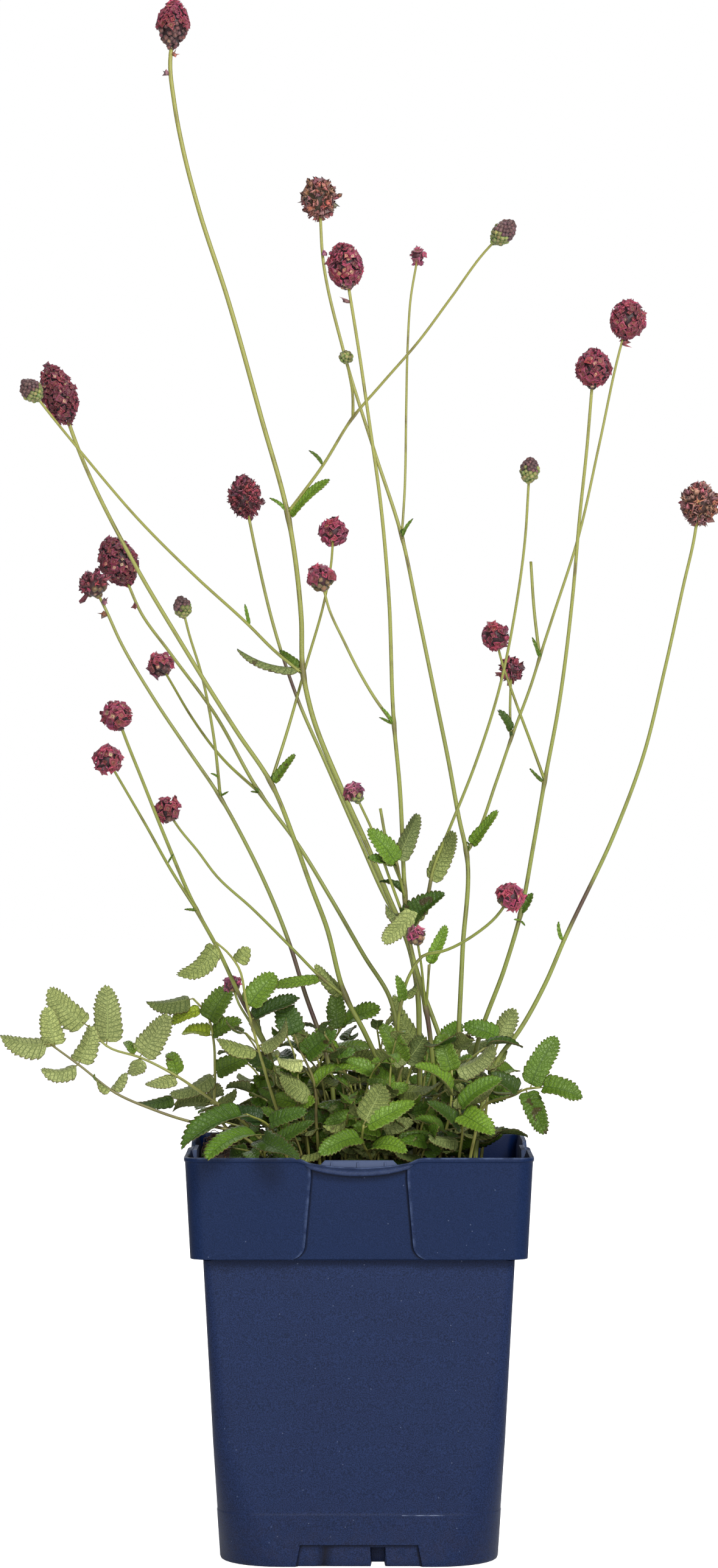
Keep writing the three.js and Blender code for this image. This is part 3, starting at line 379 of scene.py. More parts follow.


# Moulded polypropylene from a spark-eroded tool: an even satin skin with a fine grain of about a
# tenth of a millimetre, drawn at a third so that it shows. The collar is painted a deeper blue than
# the body, which is painted shade. Edges are rubbed pale, partly wear and partly a painted highlight,
# painted shade lies in the crevices and dirt at the foot, there are pale specks and a scratch, and
# the tongue is whitened by water and chalk.
polypropylene = new_material("moulded_navy_polypropylene")
place = add(polypropylene, "ShaderNodeTexCoord", {}, 3)
grain = add(polypropylene, "ShaderNodeTexNoise", {"Vector": place, "Scale": 2800.0, "Detail": 2.0})
mottle = add(polypropylene, "ShaderNodeTexNoise", {"Vector": place, "Scale": 45.0, "Detail": 4.0})
marks = add(polypropylene, "ShaderNodeAttribute", {}, 1, attribute_name="marks")
tint = add(polypropylene, "ShaderNodeAttribute", {}, 1, attribute_name="tint")
wear_and_highlight, inner, film = [add(polypropylene, "ShaderNodeSeparateXYZ", {0: marks}, axis) for axis in range(3)]
# The tint carries painted shade: in the crevices, and over the collar to deepen its blue.
painted_crevice_shade, fresh = [add(polypropylene, "ShaderNodeSeparateXYZ", {0: tint}, axis) for axis in range(2)]
blue = add(polypropylene, "ShaderNodeMix", {0: mottle, 6: linear("#111a36"), 7: linear("#182646")}, 2,
           data_type="RGBA")
grained = add(polypropylene, "ShaderNodeMapRange", {0: grain, 1: 0.35, 2: 0.65, 3: 0.0, 4: 1.0})
grained = add(polypropylene, "ShaderNodeMix", {0: grained, 6: linear("#0a1222"), 7: linear("#26345a")}, 2,
              data_type="RGBA")
blue = add(polypropylene, "ShaderNodeMix", {0: 0.5, 6: blue, 7: grained}, 2, data_type="RGBA")
# Painted shade: the collar is mixed towards a deeper blue.
blue = add(polypropylene, "ShaderNodeMix", {0: fresh, 6: blue, 7: linear("#00183a")}, 2, data_type="RGBA")
blue = add(polypropylene, "ShaderNodeMix", {0: inner, 6: blue, 7: linear("#05163a")}, 2, data_type="RGBA")
patchy = add(polypropylene, "ShaderNodeTexNoise", {"Vector": place, "Scale": 300.0, "Detail": 3.0})
patchy = add(polypropylene, "ShaderNodeMapRange", {0: patchy, 1: 0.4, 2: 0.7, 3: 0.05, 4: 0.5})
# Rubbed pale edges: partly wear and partly a painted highlight at the rim and along the flaps.
rubbed_and_highlit = add(polypropylene, "ShaderNodeMath", {0: wear_and_highlight, 1: patchy}, operation="MULTIPLY")
blue = add(polypropylene, "ShaderNodeMix", {0: rubbed_and_highlit, 6: blue, 7: linear("#6d7fa6")}, 2, data_type="RGBA")
chalk = add(polypropylene, "ShaderNodeMath", {0: film, 1: 0.8}, operation="MULTIPLY")
blue = add(polypropylene, "ShaderNodeMix", {0: chalk, 6: blue, 7: linear("#4a5570")}, 2, data_type="RGBA")
# Painted shade in the crevices, mixed towards near black.
shade = add(polypropylene, "ShaderNodeMath", {0: painted_crevice_shade, 1: 0.85}, operation="MULTIPLY")
blue = add(polypropylene, "ShaderNodeMix", {0: shade, 6: blue, 7: linear("#060a17")}, 2, data_type="RGBA")
specks = add(polypropylene, "ShaderNodeTexVoronoi", {"Vector": place, "Scale": 230.0, "Randomness": 1.0})
specks = add(polypropylene, "ShaderNodeMapRange", {0: specks, 1: 0.035, 2: 0.055, 3: 0.18, 4: 0.0})
height = add(polypropylene, "ShaderNodeSeparateXYZ", {0: place}, 2)
right = add(polypropylene, "ShaderNodeSeparateXYZ", {0: place}, 0)
scratch = add(polypropylene, "ShaderNodeMath", {0: height, 1: 0.0167, 2: 0.00016}, operation="COMPARE")
on_right = add(polypropylene, "ShaderNodeMath", {0: right, 1: 0.0205, 2: 0.0068}, operation="COMPARE")
scratch = add(polypropylene, "ShaderNodeMath", {0: scratch, 1: on_right}, operation="MULTIPLY")
scratch = add(polypropylene, "ShaderNodeMath", {0: scratch, 1: patchy}, operation="MULTIPLY")
pale = add(polypropylene, "ShaderNodeMath", {0: scratch, 1: specks}, operation="MAXIMUM")
blue = add(polypropylene, "ShaderNodeMix", {0: pale, 6: blue, 7: linear("#8f9cb8")}, 2, data_type="RGBA")
low = add(polypropylene, "ShaderNodeMapRange", {0: height, 1: 0.025, 2: 0.0, 3: 0.0, 4: 0.35})
soiled = add(polypropylene, "ShaderNodeMath", {0: low, 1: patchy}, operation="MULTIPLY")
blue = add(polypropylene, "ShaderNodeMix", {0: soiled, 6: blue, 7: linear("#33291f")}, 2, data_type="RGBA")
bump = add(polypropylene, "ShaderNodeBump", {"Strength": 0.22, "Distance": 0.0002, "Height": grain})
gloss = add(polypropylene, "ShaderNodeMapRange", {0: mottle, 1: 0.3, 2: 0.7, 3: 0.4, 4: 0.5})
shader = add(polypropylene, "ShaderNodeBsdfPrincipled", {"Base Color": blue, "Roughness": gloss, "IOR": 1.49,
                                                         "Specular IOR Level": 0.1, "Normal": bump})
add(polypropylene, "ShaderNodeOutputMaterial", {"Surface": shader})

# How rubbed, how much inside and how chalky the lips and the tongues are.
LIP_MARKS = [0.15, 0, 0.15]
TONGUE_MARKS = [0.1, 0, 1]
pot_patches = [pot_shell()]
for quarter in range(4):
    lip_points, lip_faces = lip_bead()
    pot_patches.append((turned(lip_points, quarter), lip_faces, LIP_MARKS, [0, 0, 0], 0))
    for part_points, part_faces in tongue_parts():
        pot_patches.append((turned(part_points, quarter), part_faces, TONGUE_MARKS, [0, 0, 0], 0))
smooth_piece("square_pot", pot_patches, [polypropylene], ["pot"], sharp=32)

# The soil is peat compost, pressed into the pot to a little below the rim, heaped towards the back
# left and sunk at the back right. It is dark brown crumbs of all sizes with loose fibres.
SOIL_TOP = 124.4
SOIL_BOTTOM = 8.9
SOIL_EDGE_HALF = 52.3
HEAP = [-40, 30]
HEAP_HEIGHT = 6
HEAP_SPREAD = 26
HOLLOW_DEPTH = 4.5
HOLLOW_ACROSS = [12, 40]
HOLLOW_BACK = [-20, 35]
LUMP_HEIGHT = 0.55
CRUMBS = 2600
CRUMB_RADII = [0.5, 2.3]
CRUMB_RINGS = [-50, 0, 50]
CRUMB_SIDES = 6
FIBRES = 520
FIBRE_LENGTHS = [3, 13]
FIBRE_BEND = 1.6
FIBRE_LIFTS = [0.5, 3.2]
FIBRE_RADII = [0.08, 0.2]
FIBRE_STEPS = 6
FIBRE_SIDES = 3


def soil_height(x, y):
    """A gentle slope and two long waves, with a round heap that falls off as a bell curve, and a
    hollow that sinks along two smooth steps, to the right and to the back."""
    heap = HEAP_HEIGHT * np.exp(-((x - HEAP[0]) ** 2 + (y - HEAP[1]) ** 2) / HEAP_SPREAD ** 2)
    wave = 0.7 * np.sin(0.16 * x + 1) * np.cos(0.19 * y) + 0.35 * np.sin(0.37 * x - 0.31 * y)
    hollow = HOLLOW_DEPTH * smooth_step(x, *HOLLOW_ACROSS) * smooth_step(y, *HOLLOW_BACK)
    return SOIL_TOP + 0.014 * y - 0.012 * x + wave + heap - hollow


def rough(x, y):
    """A lumpy value round 0 at each place: five pairs of sine waves across each other, each shorter
    and lower than the last."""
    value = 0
    for turn in range(1, 6):
        size = 1.9 ** turn
        a = np.sin(0.35 * size * (x * np.cos(2.4 * turn) + y * np.sin(2.4 * turn)) + 1.7 * turn)
        b = np.cos(0.31 * size * (y * np.cos(1.9 * turn) - x * np.sin(1.9 * turn)) + 0.9 * turn)
        value = value + a * b / 1.35 ** turn
    return value


def lumpy_top(x, y):
    """The soil's height with its lumps."""
    return soil_height(x, y) + LUMP_HEIGHT * rough(x, y)


def copied_faces(faces, copies, size):
    """The faces of one small shape for all copies of it, each of which has size points."""
    shifts = (np.arange(copies) * size)[:, None, None]
    return np.where(faces[None] < 0, -1, faces[None] + shifts).reshape(-1, 4)


def soil_body():
    """Square rings from the middle of the top out to the wall, with a lumpy top, and then down the
    wall to the floor."""
    share = np.linspace(0.02, 1, 62)
    side_up = np.array([118, 102.5, 100.5, 60, 17, SOIL_BOTTOM])
    half = np.concatenate([SOIL_EDGE_HALF * share, [52.2, 51.3, 47.9, 46.1, 44.1, 43.6]])[:, None]
    corner = np.concatenate([2.65 * share + 9 * share * (1 - share), [2.6, 2.4, 1.4, 3.4, 12, 15]])[:, None]
    _, plan, _ = square_rings(half, corner, 0.4 * (half - corner))
    top = lumpy_top(plan[:, :, 0], plan[:, :, 1])
    edge_drop = 1.2 * smooth_step(half, 0.96 * SOIL_EDGE_HALF, SOIL_EDGE_HALF)
    up = np.where(np.arange(len(half))[:, None] < len(share), top - edge_drop, 0)
    up[len(share):] = side_up[:, None]
    rings = np.concatenate([plan, up[..., None]], -1)[::-1]
    poles = [[0, 0, SOIL_BOTTOM], [0, 0, soil_height(0, 0)]]
    return np.concatenate([rings.reshape(-1, 3), poles]), loft_faces(*rings.shape[:2])


def crumb_heap(seed):
    """Crumbs scattered over the soil, most of them small: six-sided pebbles of three rings, each with
    its own lumpy radii, squash and turn. Their first mark is their own chance."""
    rng = np.random.default_rng(seed)
    plan = rng.uniform(-SOIL_EDGE_HALF + 1.5, SOIL_EDGE_HALF - 1.5, (CRUMBS, 2))
    size = CRUMB_RADII[0] + (CRUMB_RADII[1] - CRUMB_RADII[0]) * rng.random(CRUMBS) ** 3
    up = lumpy_top(plan[:, 0], plan[:, 1]) + 0.3 * size
    polar = np.radians(CRUMB_RINGS)[:, None]
    angle = np.arange(CRUMB_SIDES) / CRUMB_SIDES * 2 * np.pi
    ball = np.stack([np.cos(polar) * np.cos(angle), np.cos(polar) * np.sin(angle),
                     np.sin(polar) + 0 * angle], -1).reshape(-1, 3)
    ball = np.concatenate([ball, [[0, 0, -1], [0, 0, 1]]])
    shape = ball * rng.uniform(0.65, 1.25, (CRUMBS, len(ball), 1)) * rng.uniform(0.6, 1, (CRUMBS, 1, 3))
    axis = np.linalg.qr(rng.normal(size=(CRUMBS, 3, 3)))[0]
    shape = np.einsum("nij,nkj->nki", axis * np.sign(np.linalg.det(axis))[:, None, None], shape)
    points = shape * size[:, None, None] + np.concatenate([plan, up[:, None]], -1)[:, None]
    faces = copied_faces(loft_faces(len(CRUMB_RINGS), CRUMB_SIDES), CRUMBS, len(ball))
    own = rng.random(CRUMBS)
    marks = np.repeat(np.stack([own, 0 * own, 0 * own], -1), len(ball), 0)
    return points.reshape(-1, 3), faces, marks, [0, 0, 0], 0


def loose_fibres(seed):
    """Peat fibres: three-sided hairs along a short arc that starts in the soil and rises or lies.
    Their first mark is their own chance, and the third is 1."""
    rng = np.random.default_rng(seed)
    steps = np.linspace(0, 1, FIBRE_STEPS)
    start = rng.uniform(-SOIL_EDGE_HALF + 2, SOIL_EDGE_HALF - 2, (FIBRES, 2))
    heading = rng.uniform(0, 2 * np.pi, FIBRES)
    length = rng.uniform(*FIBRE_LENGTHS, FIBRES)
    bend = rng.normal(0, FIBRE_BEND, FIBRES)[:, None] * steps
    x = start[:, :1] + length[:, None] * steps * np.cos(heading[:, None] + bend)
    y = start[:, 1:] + length[:, None] * steps * np.sin(heading[:, None] + bend)
    x, y = (np.clip(value, 0.6 - SOIL_EDGE_HALF, SOIL_EDGE_HALF - 0.6) for value in (x, y))
    lift = rng.uniform(*FIBRE_LIFTS, FIBRES)[:, None] * np.sin(np.pi * steps) ** 0.8
    middle = np.stack([x, y, lumpy_top(x, y) + lift], -1)
    radius = rng.uniform(*FIBRE_RADII, FIBRES)[:, None, None]
    angle = np.arange(FIBRE_SIDES) / FIBRE_SIDES * 2 * np.pi
    across = np.stack([-np.sin(heading), np.cos(heading), 0 * heading], -1)[:, None, None, :]
    ring = across * np.cos(angle)[:, None] + np.array([0, 0, 1]) * np.sin(angle)[:, None]
    rings = middle[:, :, None, :] + radius[..., None] * ring
    points = np.concatenate([rings.reshape(FIBRES, -1, 3), middle[:, [0, -1]]], 1)
    faces = copied_faces(loft_faces(FIBRE_STEPS, FIBRE_SIDES), FIBRES, points.shape[1])
    own = rng.random(FIBRES)
    marks = np.repeat(np.stack([own, 0 * own, 1 + 0 * own], -1), points.shape[1], 0)
    return points.reshape(-1, 3), faces, marks, [0, 0, 0], 0


# Damp peat, dug and sieved: nearly black brown and dull all over, in clods of two or three
# millimetres, with rusty and tan bits of root and bark.
peat = new_material("damp_peat_compost")
place = add(peat, "ShaderNodeTexCoord", {}, 3)
clods = add(peat, "ShaderNodeTexNoise", {"Vector": place, "Scale": 420.0, "Detail": 6.0, "Roughness": 0.7})
marks = add(peat, "ShaderNodeAttribute", {}, 1, attribute_name="marks")
own = add(peat, "ShaderNodeSeparateXYZ", {0: marks}, 0)
fibre = add(peat, "ShaderNodeSeparateXYZ", {0: marks}, 2)
brown = add(peat, "ShaderNodeMix", {0: clods, 6: linear("#0f0a08"), 7: linear("#3a2a20")}, 2,
            data_type="RGBA")
own_brown = add(peat, "ShaderNodeMix", {0: own, 6: linear("#17100c"), 7: linear("#4c3627")}, 2,
                data_type="RGBA")
brown = add(peat, "ShaderNodeMix", {0: 0.45, 6: brown, 7: own_brown}, 2, data_type="RGBA")
straw = add(peat, "ShaderNodeMix", {0: own, 6: linear("#3a281c"), 7: linear("#8a6a4a")}, 2, data_type="RGBA")
brown = add(peat, "ShaderNodeMix", {0: fibre, 6: brown, 7: straw}, 2, data_type="RGBA")
bump = add(peat, "ShaderNodeBump", {"Strength": 0.7, "Distance": 0.0006, "Height": clods})
shader = add(peat, "ShaderNodeBsdfPrincipled", {"Base Color": brown, "Roughness": 0.93, "Normal": bump})
add(peat, "ShaderNodeOutputMaterial", {"Surface": shader})

body_points, body_faces = soil_body()
smooth_piece("peat_soil", [(body_points, body_faces, [0.3, 0, 0], [0, 0, 0], 0)], [peat], ["soil"])
smooth_piece("peat_crumbs", [crumb_heap(11)], [peat], [])
smooth_piece("peat_fibres", [loose_fibres(12)], [peat], [])

# The stems are thin, wiry and branched, ribbed and yellow-green, with purple-brown flecks and rings
# at the joints. Each grows out of the crown in the soil, with small toothed leaves at its joints.
ROOT_UP = 116
PATH_STEP = 2.2
# In the solids a stem stops the first of these short of its head, and here it runs on by the second.
SEAT_GAP = 0.3
TIP_RUNS_ON = 0.8
STEM_THICK = [0.95, 0.48]
THINNING = 0.6
SHOOT_THICK = [0.55, 0.4]
LEAN = 1.2
STALK_SIDES = 10
RIBS = 5
RIB_RELIEF = 0.07
JOINT_SWELL = 0.32
JOINT_REACH = 1.9
# Either side of a joint the stem has a dark ring, this far off and this wide.
RING_AWAY = 1.2
RING_REACH = 1.6
RING_STAIN = 0.6
# The skin is older below the first height and young above the second.
YOUNG_SKIN = [150, 420]
STAIN_FADE = 3
# Lengths of stem that are stained dark, by stem number: from one height to another, as seen.
STAINS = {1: [118, 150], 2: [276, 293], 4: [166, 178], 7: [160, 199], 8: [172, 181], 9: [203, 218]}
# Every stem, from the soil up: the depth of its foot and of its tip, and its path as [across, up].
# A head is its width and length in millimetres and its state of flower, and the path of its stem
# ends at its middle. A shoot starts on its parent's path, and gives the depth of its tip alone. A leaf
# is [on the stem: across, up, tip: across, up, step back, width, turn], and one goes on with its youth
# and that it shows its back.
STEMS = [
    {"depth": [2, 10], "thick": [1, 0.68], "head": [10.2, 16.5, "open"],
     "path": [[20, ROOT_UP], [19.8, 165], [19.3, 181], [17, 194.5], [9, 214.5], [3, 229], [-6, 249],
              [-16, 275], [-18.3, 286], [-19, 305], [-23.5, 339], [-32, 370], [-43.3, 410], [-53, 440],
              [-57.9, 459], [-60.7, 474], [-62, 488], [-61, 499.5]],
     "leaves": [[-23, 337, -10, 350, -3, 4, 50], [-18.5, 288, -40, 293.5, -8, 4, 45],
                [-18.4, 286.5, -26, 293.5, 3, 3.4, 50]],
     "shoots": [
         {"depth": -35, "head": [6.5, 10, "bud"],
          "path": [[-23.5, 339], [-12, 354.5], [-2, 370.5], [7, 381], [20, 396], [30, 409.5],
                   [42.5, 426.2], [47.3, 431.2]],
          "shoots": [
              {"depth": -22, "head": [4, 4.6, "green_bud"],
               "path": [[-2, 370.5], [-2.2, 379], [-3.3, 385], [-4.3, 390.3]]}]},
         {"depth": -45, "head": [6.5, 8.5, "bud"],
          "path": [[-18.3, 286], [-28, 294], [-36, 302], [-53.5, 318], [-72.5, 337], [-90, 357.5],
                   [-103, 373.5], [-107.5, 379.3]]}]},
    {"depth": [14, 40], "head": [10, 13.5, "old"],
     "path": [[29, ROOT_UP], [28.5, 160], [21.4, 181], [14, 203], [9, 212], [0, 232], [-11, 257],
              [-20, 277.5], [-27.5, 300], [-34, 327], [-37.5, 344]]},
    {"depth": [6, 30], "head": [10.5, 12.5, "old"],
     "path": [[32.5, ROOT_UP], [32.6, 163], [34, 195], [35.3, 227.5], [33, 238], [29.5, 257],
              [25, 279], [19, 308], [14, 331.5], [5.5, 358], [-5, 392], [-12, 424], [-13, 442.3]],
     "shoots": [
         {"depth": 50, "thick": [0.42, 0.38], "head": [5, 5, "pink"],
          "path": [[14, 331.5], [14.9, 345], [15.5, 375], [16, 395], [17, 410], [19.3, 423.5]]},
         {"depth": 15, "head": [11.2, 13, "open"],
          "path": [[35.3, 227.5], [38.5, 233], [45, 250.5], [50, 265], [57, 284], [59.3, 291.5],
                   [63, 303], [72, 331], [79, 362], [85.5, 392], [88.3, 402.5]],
          "leaves": [[36.5, 229.5, 45.5, 241, -6, 4.5, 50]],
          "shoots": [
              {"depth": 24, "thick": [0.48, 0.4], "head": [7.5, 6, "old"],
               "path": [[50, 265], [49.6, 272], [49.7, 280], [50, 287.5]],
               "leaves": [[49.7, 267, 46.5, 274, -3, 3.2, 50]]},
              {"depth": 22, "thick": [0.55, 0.48], "path": [[59.3, 291.5], [57.5, 307], [56.4, 323]]}]}]},
    {"depth": [-9, -30], "head": [11, 15, "open"],
     "path": [[25, ROOT_UP], [24.5, 155], [22, 176], [20.5, 183], [18, 192], [15.8, 203], [15, 215],
              [13.3, 250], [11.5, 269.5], [9.7, 313], [7, 343], [3.5, 368], [0, 392], [-4.5, 420]],
     "leaves": [[15.8, 204, 27.5, 214, -9, 8, 60], [15.6, 205, 9, 210, -3, 4.5, 50],
                [15.1, 214, 7.5, 218.5, -3, 3.4, 45]],
     "shoots": [
         {"depth": -22, "head": [8.6, 8.6, "red"],
          "path": [[11.5, 269.5], [5, 278.5], [0, 287], [-5, 297], [-10, 308], [-12.5, 317.5]]},
         {"depth": -62, "head": [5.8, 8, "bud"],
          "path": [[15.8, 203], [21.5, 210.5], [24.5, 222.5], [30, 236], [38, 256], [46, 281],
                   [51, 305], [54.5, 330], [56, 353]],
          "leaves": [[22, 213, 8, 198, -15, 7, 60, 0.5, True], [23, 217, 32, 234.5, -9, 6.5, 60]]},
         {"depth": -32, "thick": [0.55, 0.4], "head": [6.6, 6.8, "pink"],
          "path": [[15.8, 203], [10, 219], [4, 235.5], [-1.3, 246.8]]},
         {"depth": -24, "thick": [0.48, 0.4], "head": [6.2, 6.2, "old"],
          "path": [[22, 176], [21.2, 183], [20.5, 190], [18.9, 199.8]]},
         {"depth": -15, "thick": [0.55, 0.48], "path": [[15, 215], [9.3, 230], [7, 242]]},
         {"depth": -24, "thick": [0.48, 0.4],
          "path": [[15.1, 212], [13.5, 219], [12.3, 224.2]],
          "leaves": [[12.5, 223.5, 3.2, 235, -4, 7, 60], [12.3, 224, 20, 240, -2, 6, 55],
                     [12.6, 222.5, 3.5, 226, -6, 4, 45]]},
         {"depth": -19, "thick": [0.48, 0.4],
          "path": [[22, 176], [22.6, 184], [23, 190.5]],
          "leaves": [[23, 190, 28.5, 203.5, 2, 4, 55]]}]},
    {"depth": [5, -18], "thick": [0.95, 0.6], "head": [10.5, 20, "dark"],
     "path": [[11, ROOT_UP], [9.5, 150], [2, 168], [-4.3, 180], [-11, 204], [-16, 217], [-21, 231],
              [-29, 250.5], [-40, 267], [-60, 299], [-73, 321], [-93.5, 363.5], [-98.6, 378]],
     "leaves": [[-28.6, 250, -21, 259.5, -2, 3.4, 50], [-4.6, 181, -14.5, 190, 3, 5, 50]],
     "shoots": [
         {"depth": 40, "head": [8.8, 8.8, "red"],
          "path": [[-29, 250.5], [-24, 266], [-18, 287], [-11, 312], [-9, 324], [-8.4, 332.7]]},
         {"depth": -20, "head": [8, 8.2, "open"],
          "path": [[-4.3, 180], [-12, 186], [-21, 195], [-35, 209], [-47, 220], [-53, 228],
                   [-59.5, 236], [-63, 241.3]],
          "leaves": [[-12, 186, -31, 184.5, -4, 4.5, 45]]}]},
    {"depth": [-2, 45], "head": [12.5, 17.5, "dark"],
     "path": [[14, ROOT_UP], [13.5, 160], [10, 180], [2, 193], [-9, 212], [-20, 230], [-32.5, 247],
              [-48, 274], [-62, 293], [-72, 307], [-79, 323]],
     "shoots": [
         {"depth": 52, "head": [8.2, 7.6, "open"],
          "path": [[-32.5, 247], [-44, 257.5], [-55, 272], [-61.5, 283], [-65, 289]]}]},
    {"depth": [8, 22], "head": [8.5, 9, "old"],
     "path": [[-8, ROOT_UP], [-10, 158], [-18, 182], [-23, 198], [-30, 215.5], [-38, 232],
              [-45.5, 245.5], [-56, 261], [-68, 279], [-78.5, 297], [-83.5, 308], [-87, 315]],
     "shoots": [
         {"depth": 2, "head": [5.6, 7, "pink"],
          "path": [[-45.5, 245.5], [-47.5, 264], [-52, 287], [-56, 300], [-58, 308]]}]},
    {"depth": [-4, -50], "head": [9, 9, "dark"],
     "path": [[-23, ROOT_UP], [-26, 145], [-30, 162.5], [-39, 180], [-47, 197], [-53.3, 208.5],
              [-63.5, 232], [-71.5, 252], [-76.5, 264.5], [-79.5, 272.5]],
     "shoots": [
         {"depth": -66, "head": [8.5, 8.5, "open"],
          "path": [[-53.3, 208.5], [-61, 220.5], [-70, 236.5], [-79, 252], [-82.5, 258]]},
         {"depth": -12, "thick": [0.48, 0.4], "head": [6, 4.8, "pink"],
          "path": [[-30, 162.5], [-36, 172], [-40, 179], [-41.5, 183.8]]}]},
    {"depth": [-6, 5], "head": [11.3, 12.5, "old"],
     "path": [[37, ROOT_UP], [42, 150], [46, 160], [52, 168], [61, 184], [67.5, 199], [84, 234],
              [93, 258], [100.5, 288], [106.5, 315], [110.3, 332], [111.8, 342]]},
    {"depth": [13, -20], "head": [10.8, 12.8, "open"],
     "path": [[35, ROOT_UP], [39, 165], [48, 190], [52.5, 205], [57.5, 231], [61, 251], [65.5, 275],
              [70, 310], [72.5, 338], [75, 362], [76, 374], [77, 386.5]],
     "leaves": [[53, 207.5, 57, 214, -2, 3.2, 50]],
     "shoots": [
         {"depth": -26, "head": [8.3, 8.6, "open"],
          "path": [[61, 251], [57, 262], [50, 281], [46.5, 291.5], [44.8, 298.5]]}]},
    {"depth": [-10, -45], "thick": [0.72, 0.46], "head": [8.6, 8.4, "pink"],
     "path": [[12, ROOT_UP], [13.5, 150], [13.5, 176.5], [17, 188], [21, 193.5], [28, 195.2],
              [38, 200.5], [46, 207.5], [49.7, 212.7]],
     "leaves": [[13.7, 178, 12.3, 187, -3, 3.4, 50], [14.2, 180, 19, 184.5, -3, 3.4, 50]]},
]


def seen(places):
    """Places given as seen from the front, [across, up, depth], as real ones: what lies deeper is
    larger than it looks, by the share that its distance is more than the eye's."""
    places = np.asarray(places, float)
    scale = (EYE_DISTANCE + places[..., 2:]) / EYE_DISTANCE
    across, up, depth = places[..., :1], places[..., 1:2], places[..., 2:]
    return np.concatenate([across * scale, depth, EYE_HEIGHT + (up - EYE_HEIGHT) * scale], -1)


def run(points):
    """How far along its path each point lies, in mm."""
    return np.concatenate([[0], np.cumsum(np.linalg.norm(np.diff(points, axis=0), axis=1))])


def with_depth(path, start, end):
    """The path's points with their depth, which leans from start to end more towards the tip."""
    path = np.array(path, float)
    share = run(path) / run(path)[-1]
    return np.insert(path, 2, start + (end - start) * share ** LEAN, 1)


def depth_at(line, up):
    """The depth where a line first reaches a height, between its two points there."""
    after = max(1, int(np.argmax(line[:, 1] >= up)))
    pair = line[after - 1:after + 1]
    order = np.argsort(pair[:, 1])
    return np.interp(up, pair[order, 1], pair[order, 2])


def unit(vector):
    """The vector over its own length."""
    return vector / np.linalg.norm(vector, axis=-1, keepdims=True)


def smooth_path(points, step):
    """A curve through the points: between two of them a cubic whose slopes are the weighted mean of
    the chords before and after, sampled every step mm."""
    knots = run(points)
    slopes = np.gradient(points, knots, axis=0)
    at = np.linspace(0, knots[-1], max(4, int(knots[-1] / step) + 1))
    index = np.clip(np.searchsorted(knots, at, "right") - 1, 0, len(points) - 2)
    chord = (knots[index + 1] - knots[index])[:, None]
    t = (at - knots[index])[:, None] / chord
    here, after = points[index], points[index + 1]
    return ((1 + 2 * t) * (1 - t) ** 2 * here + t * (1 - t) ** 2 * chord * slopes[index]
            + t * t * (3 - 2 * t) * after - t * t * (1 - t) * chord * slopes[index + 1])


def stalk(points, radii, sides, relief=0.0):
    """A ribbed tube: a ring round each point, square to the path, whose radius waves by the relief
    RIBS times round. Its marks are how far along it is and how far round."""
    ahead = unit(np.gradient(points, axis=0))
    least = np.abs(ahead).max(0).argmin()
    side = unit(np.eye(3)[least] - ahead * ahead[:, least:least + 1])
    other = np.cross(ahead, side)
    angle = np.arange(sides) / sides * 2 * np.pi
    radius = radii[:, None] * (1 + relief * np.cos(RIBS * angle))
    rings = points[:, None] + (radius * np.cos(angle))[..., None] * side[:, None]
    rings = rings + (radius * np.sin(angle))[..., None] * other[:, None]
    everything = np.concatenate([rings.reshape(-1, 3), points[[0, -1]]])
    along = np.append(np.repeat(run(points), sides), [0, run(points)[-1]])
    around = np.append(np.tile(np.cos(RIBS * angle), len(points)), [0, 0])
    return everything, loft_faces(len(points), sides), np.stack([along, around, 0 * along], -1)


def pithy_stalk(line, thick, joints, stain, seed):
    """One stem or shoot as a ribbed tube that tapers by a power of its length and swells at its
    joints along a bell curve. Its tint is how dark it is stained, how young it is, and its own
    chance."""
    path = smooth_path(line, PATH_STEP)
    along = run(path)
    radii = np.interp((along / along[-1]) ** THINNING, [0, 1], thick)
    if len(joints):
        near = np.linalg.norm(path[:, None] - np.array(joints)[None], axis=-1)
        swell = np.exp(-(near / JOINT_REACH) ** 2).max(1)
        ring = np.exp(-((near - RING_AWAY) / RING_REACH) ** 2).max(1)
    else:
        swell = ring = 0 * along
    radii = radii * (1 + JOINT_SWELL * swell)
    points, faces, marks = stalk(path, radii, STALK_SIDES, RIB_RELIEF)
    dark = RING_STAIN * ring
    if stain:
        up = EYE_HEIGHT + (path[:, 2] - EYE_HEIGHT) * EYE_DISTANCE / (EYE_DISTANCE + path[:, 1])
        low, high = stain
        above = smooth_step(up, low - STAIN_FADE, low + STAIN_FADE)
        below = smooth_step(up, high + STAIN_FADE, high - STAIN_FADE)
        dark = np.maximum(dark, above * below)
    dark = np.append(np.repeat(dark, STALK_SIDES), [0, 0])
    young = np.append(np.repeat(smooth_step(path[:, 2], *YOUNG_SKIN), STALK_SIDES), [0, 1])
    return points, faces, marks, np.stack([dark, young, np.full(len(dark), seed % 7 / 7)], -1), 1


# A leaflet's grid has columns from edge to edge, and three rows for each tooth, which run out along
# the side veins to the teeth.
LEAF_COLUMNS = np.array([-1, -0.78, -0.4, 0, 0.4, 0.78, 1])
TOOTH_ROWS = np.array([1, 0.08, 0.75])
TOOTH_SPACING = 1.6
TOOTH_DEPTH = 0.09
TOOTH_LEAN = 0.8
TOOTH_FROM = 0.5
VEIN_SLANT = 0.12
BASE_LOBE = 0.1
BLADE = 0.26
STALKLET = 0.08
FOLD = [0.1, 0.75]
ARCH = 0.1
PLEAT = 0.2
TWIST = 0.3
# The last row stands just short of the tip, where the outline would close to nothing.
LAST_ROW = 0.985
STALKLET_RADII = np.array([0.28, 0.24, 0.2])
STALKLET_TINT = [0.45, 0.4, 0.5]


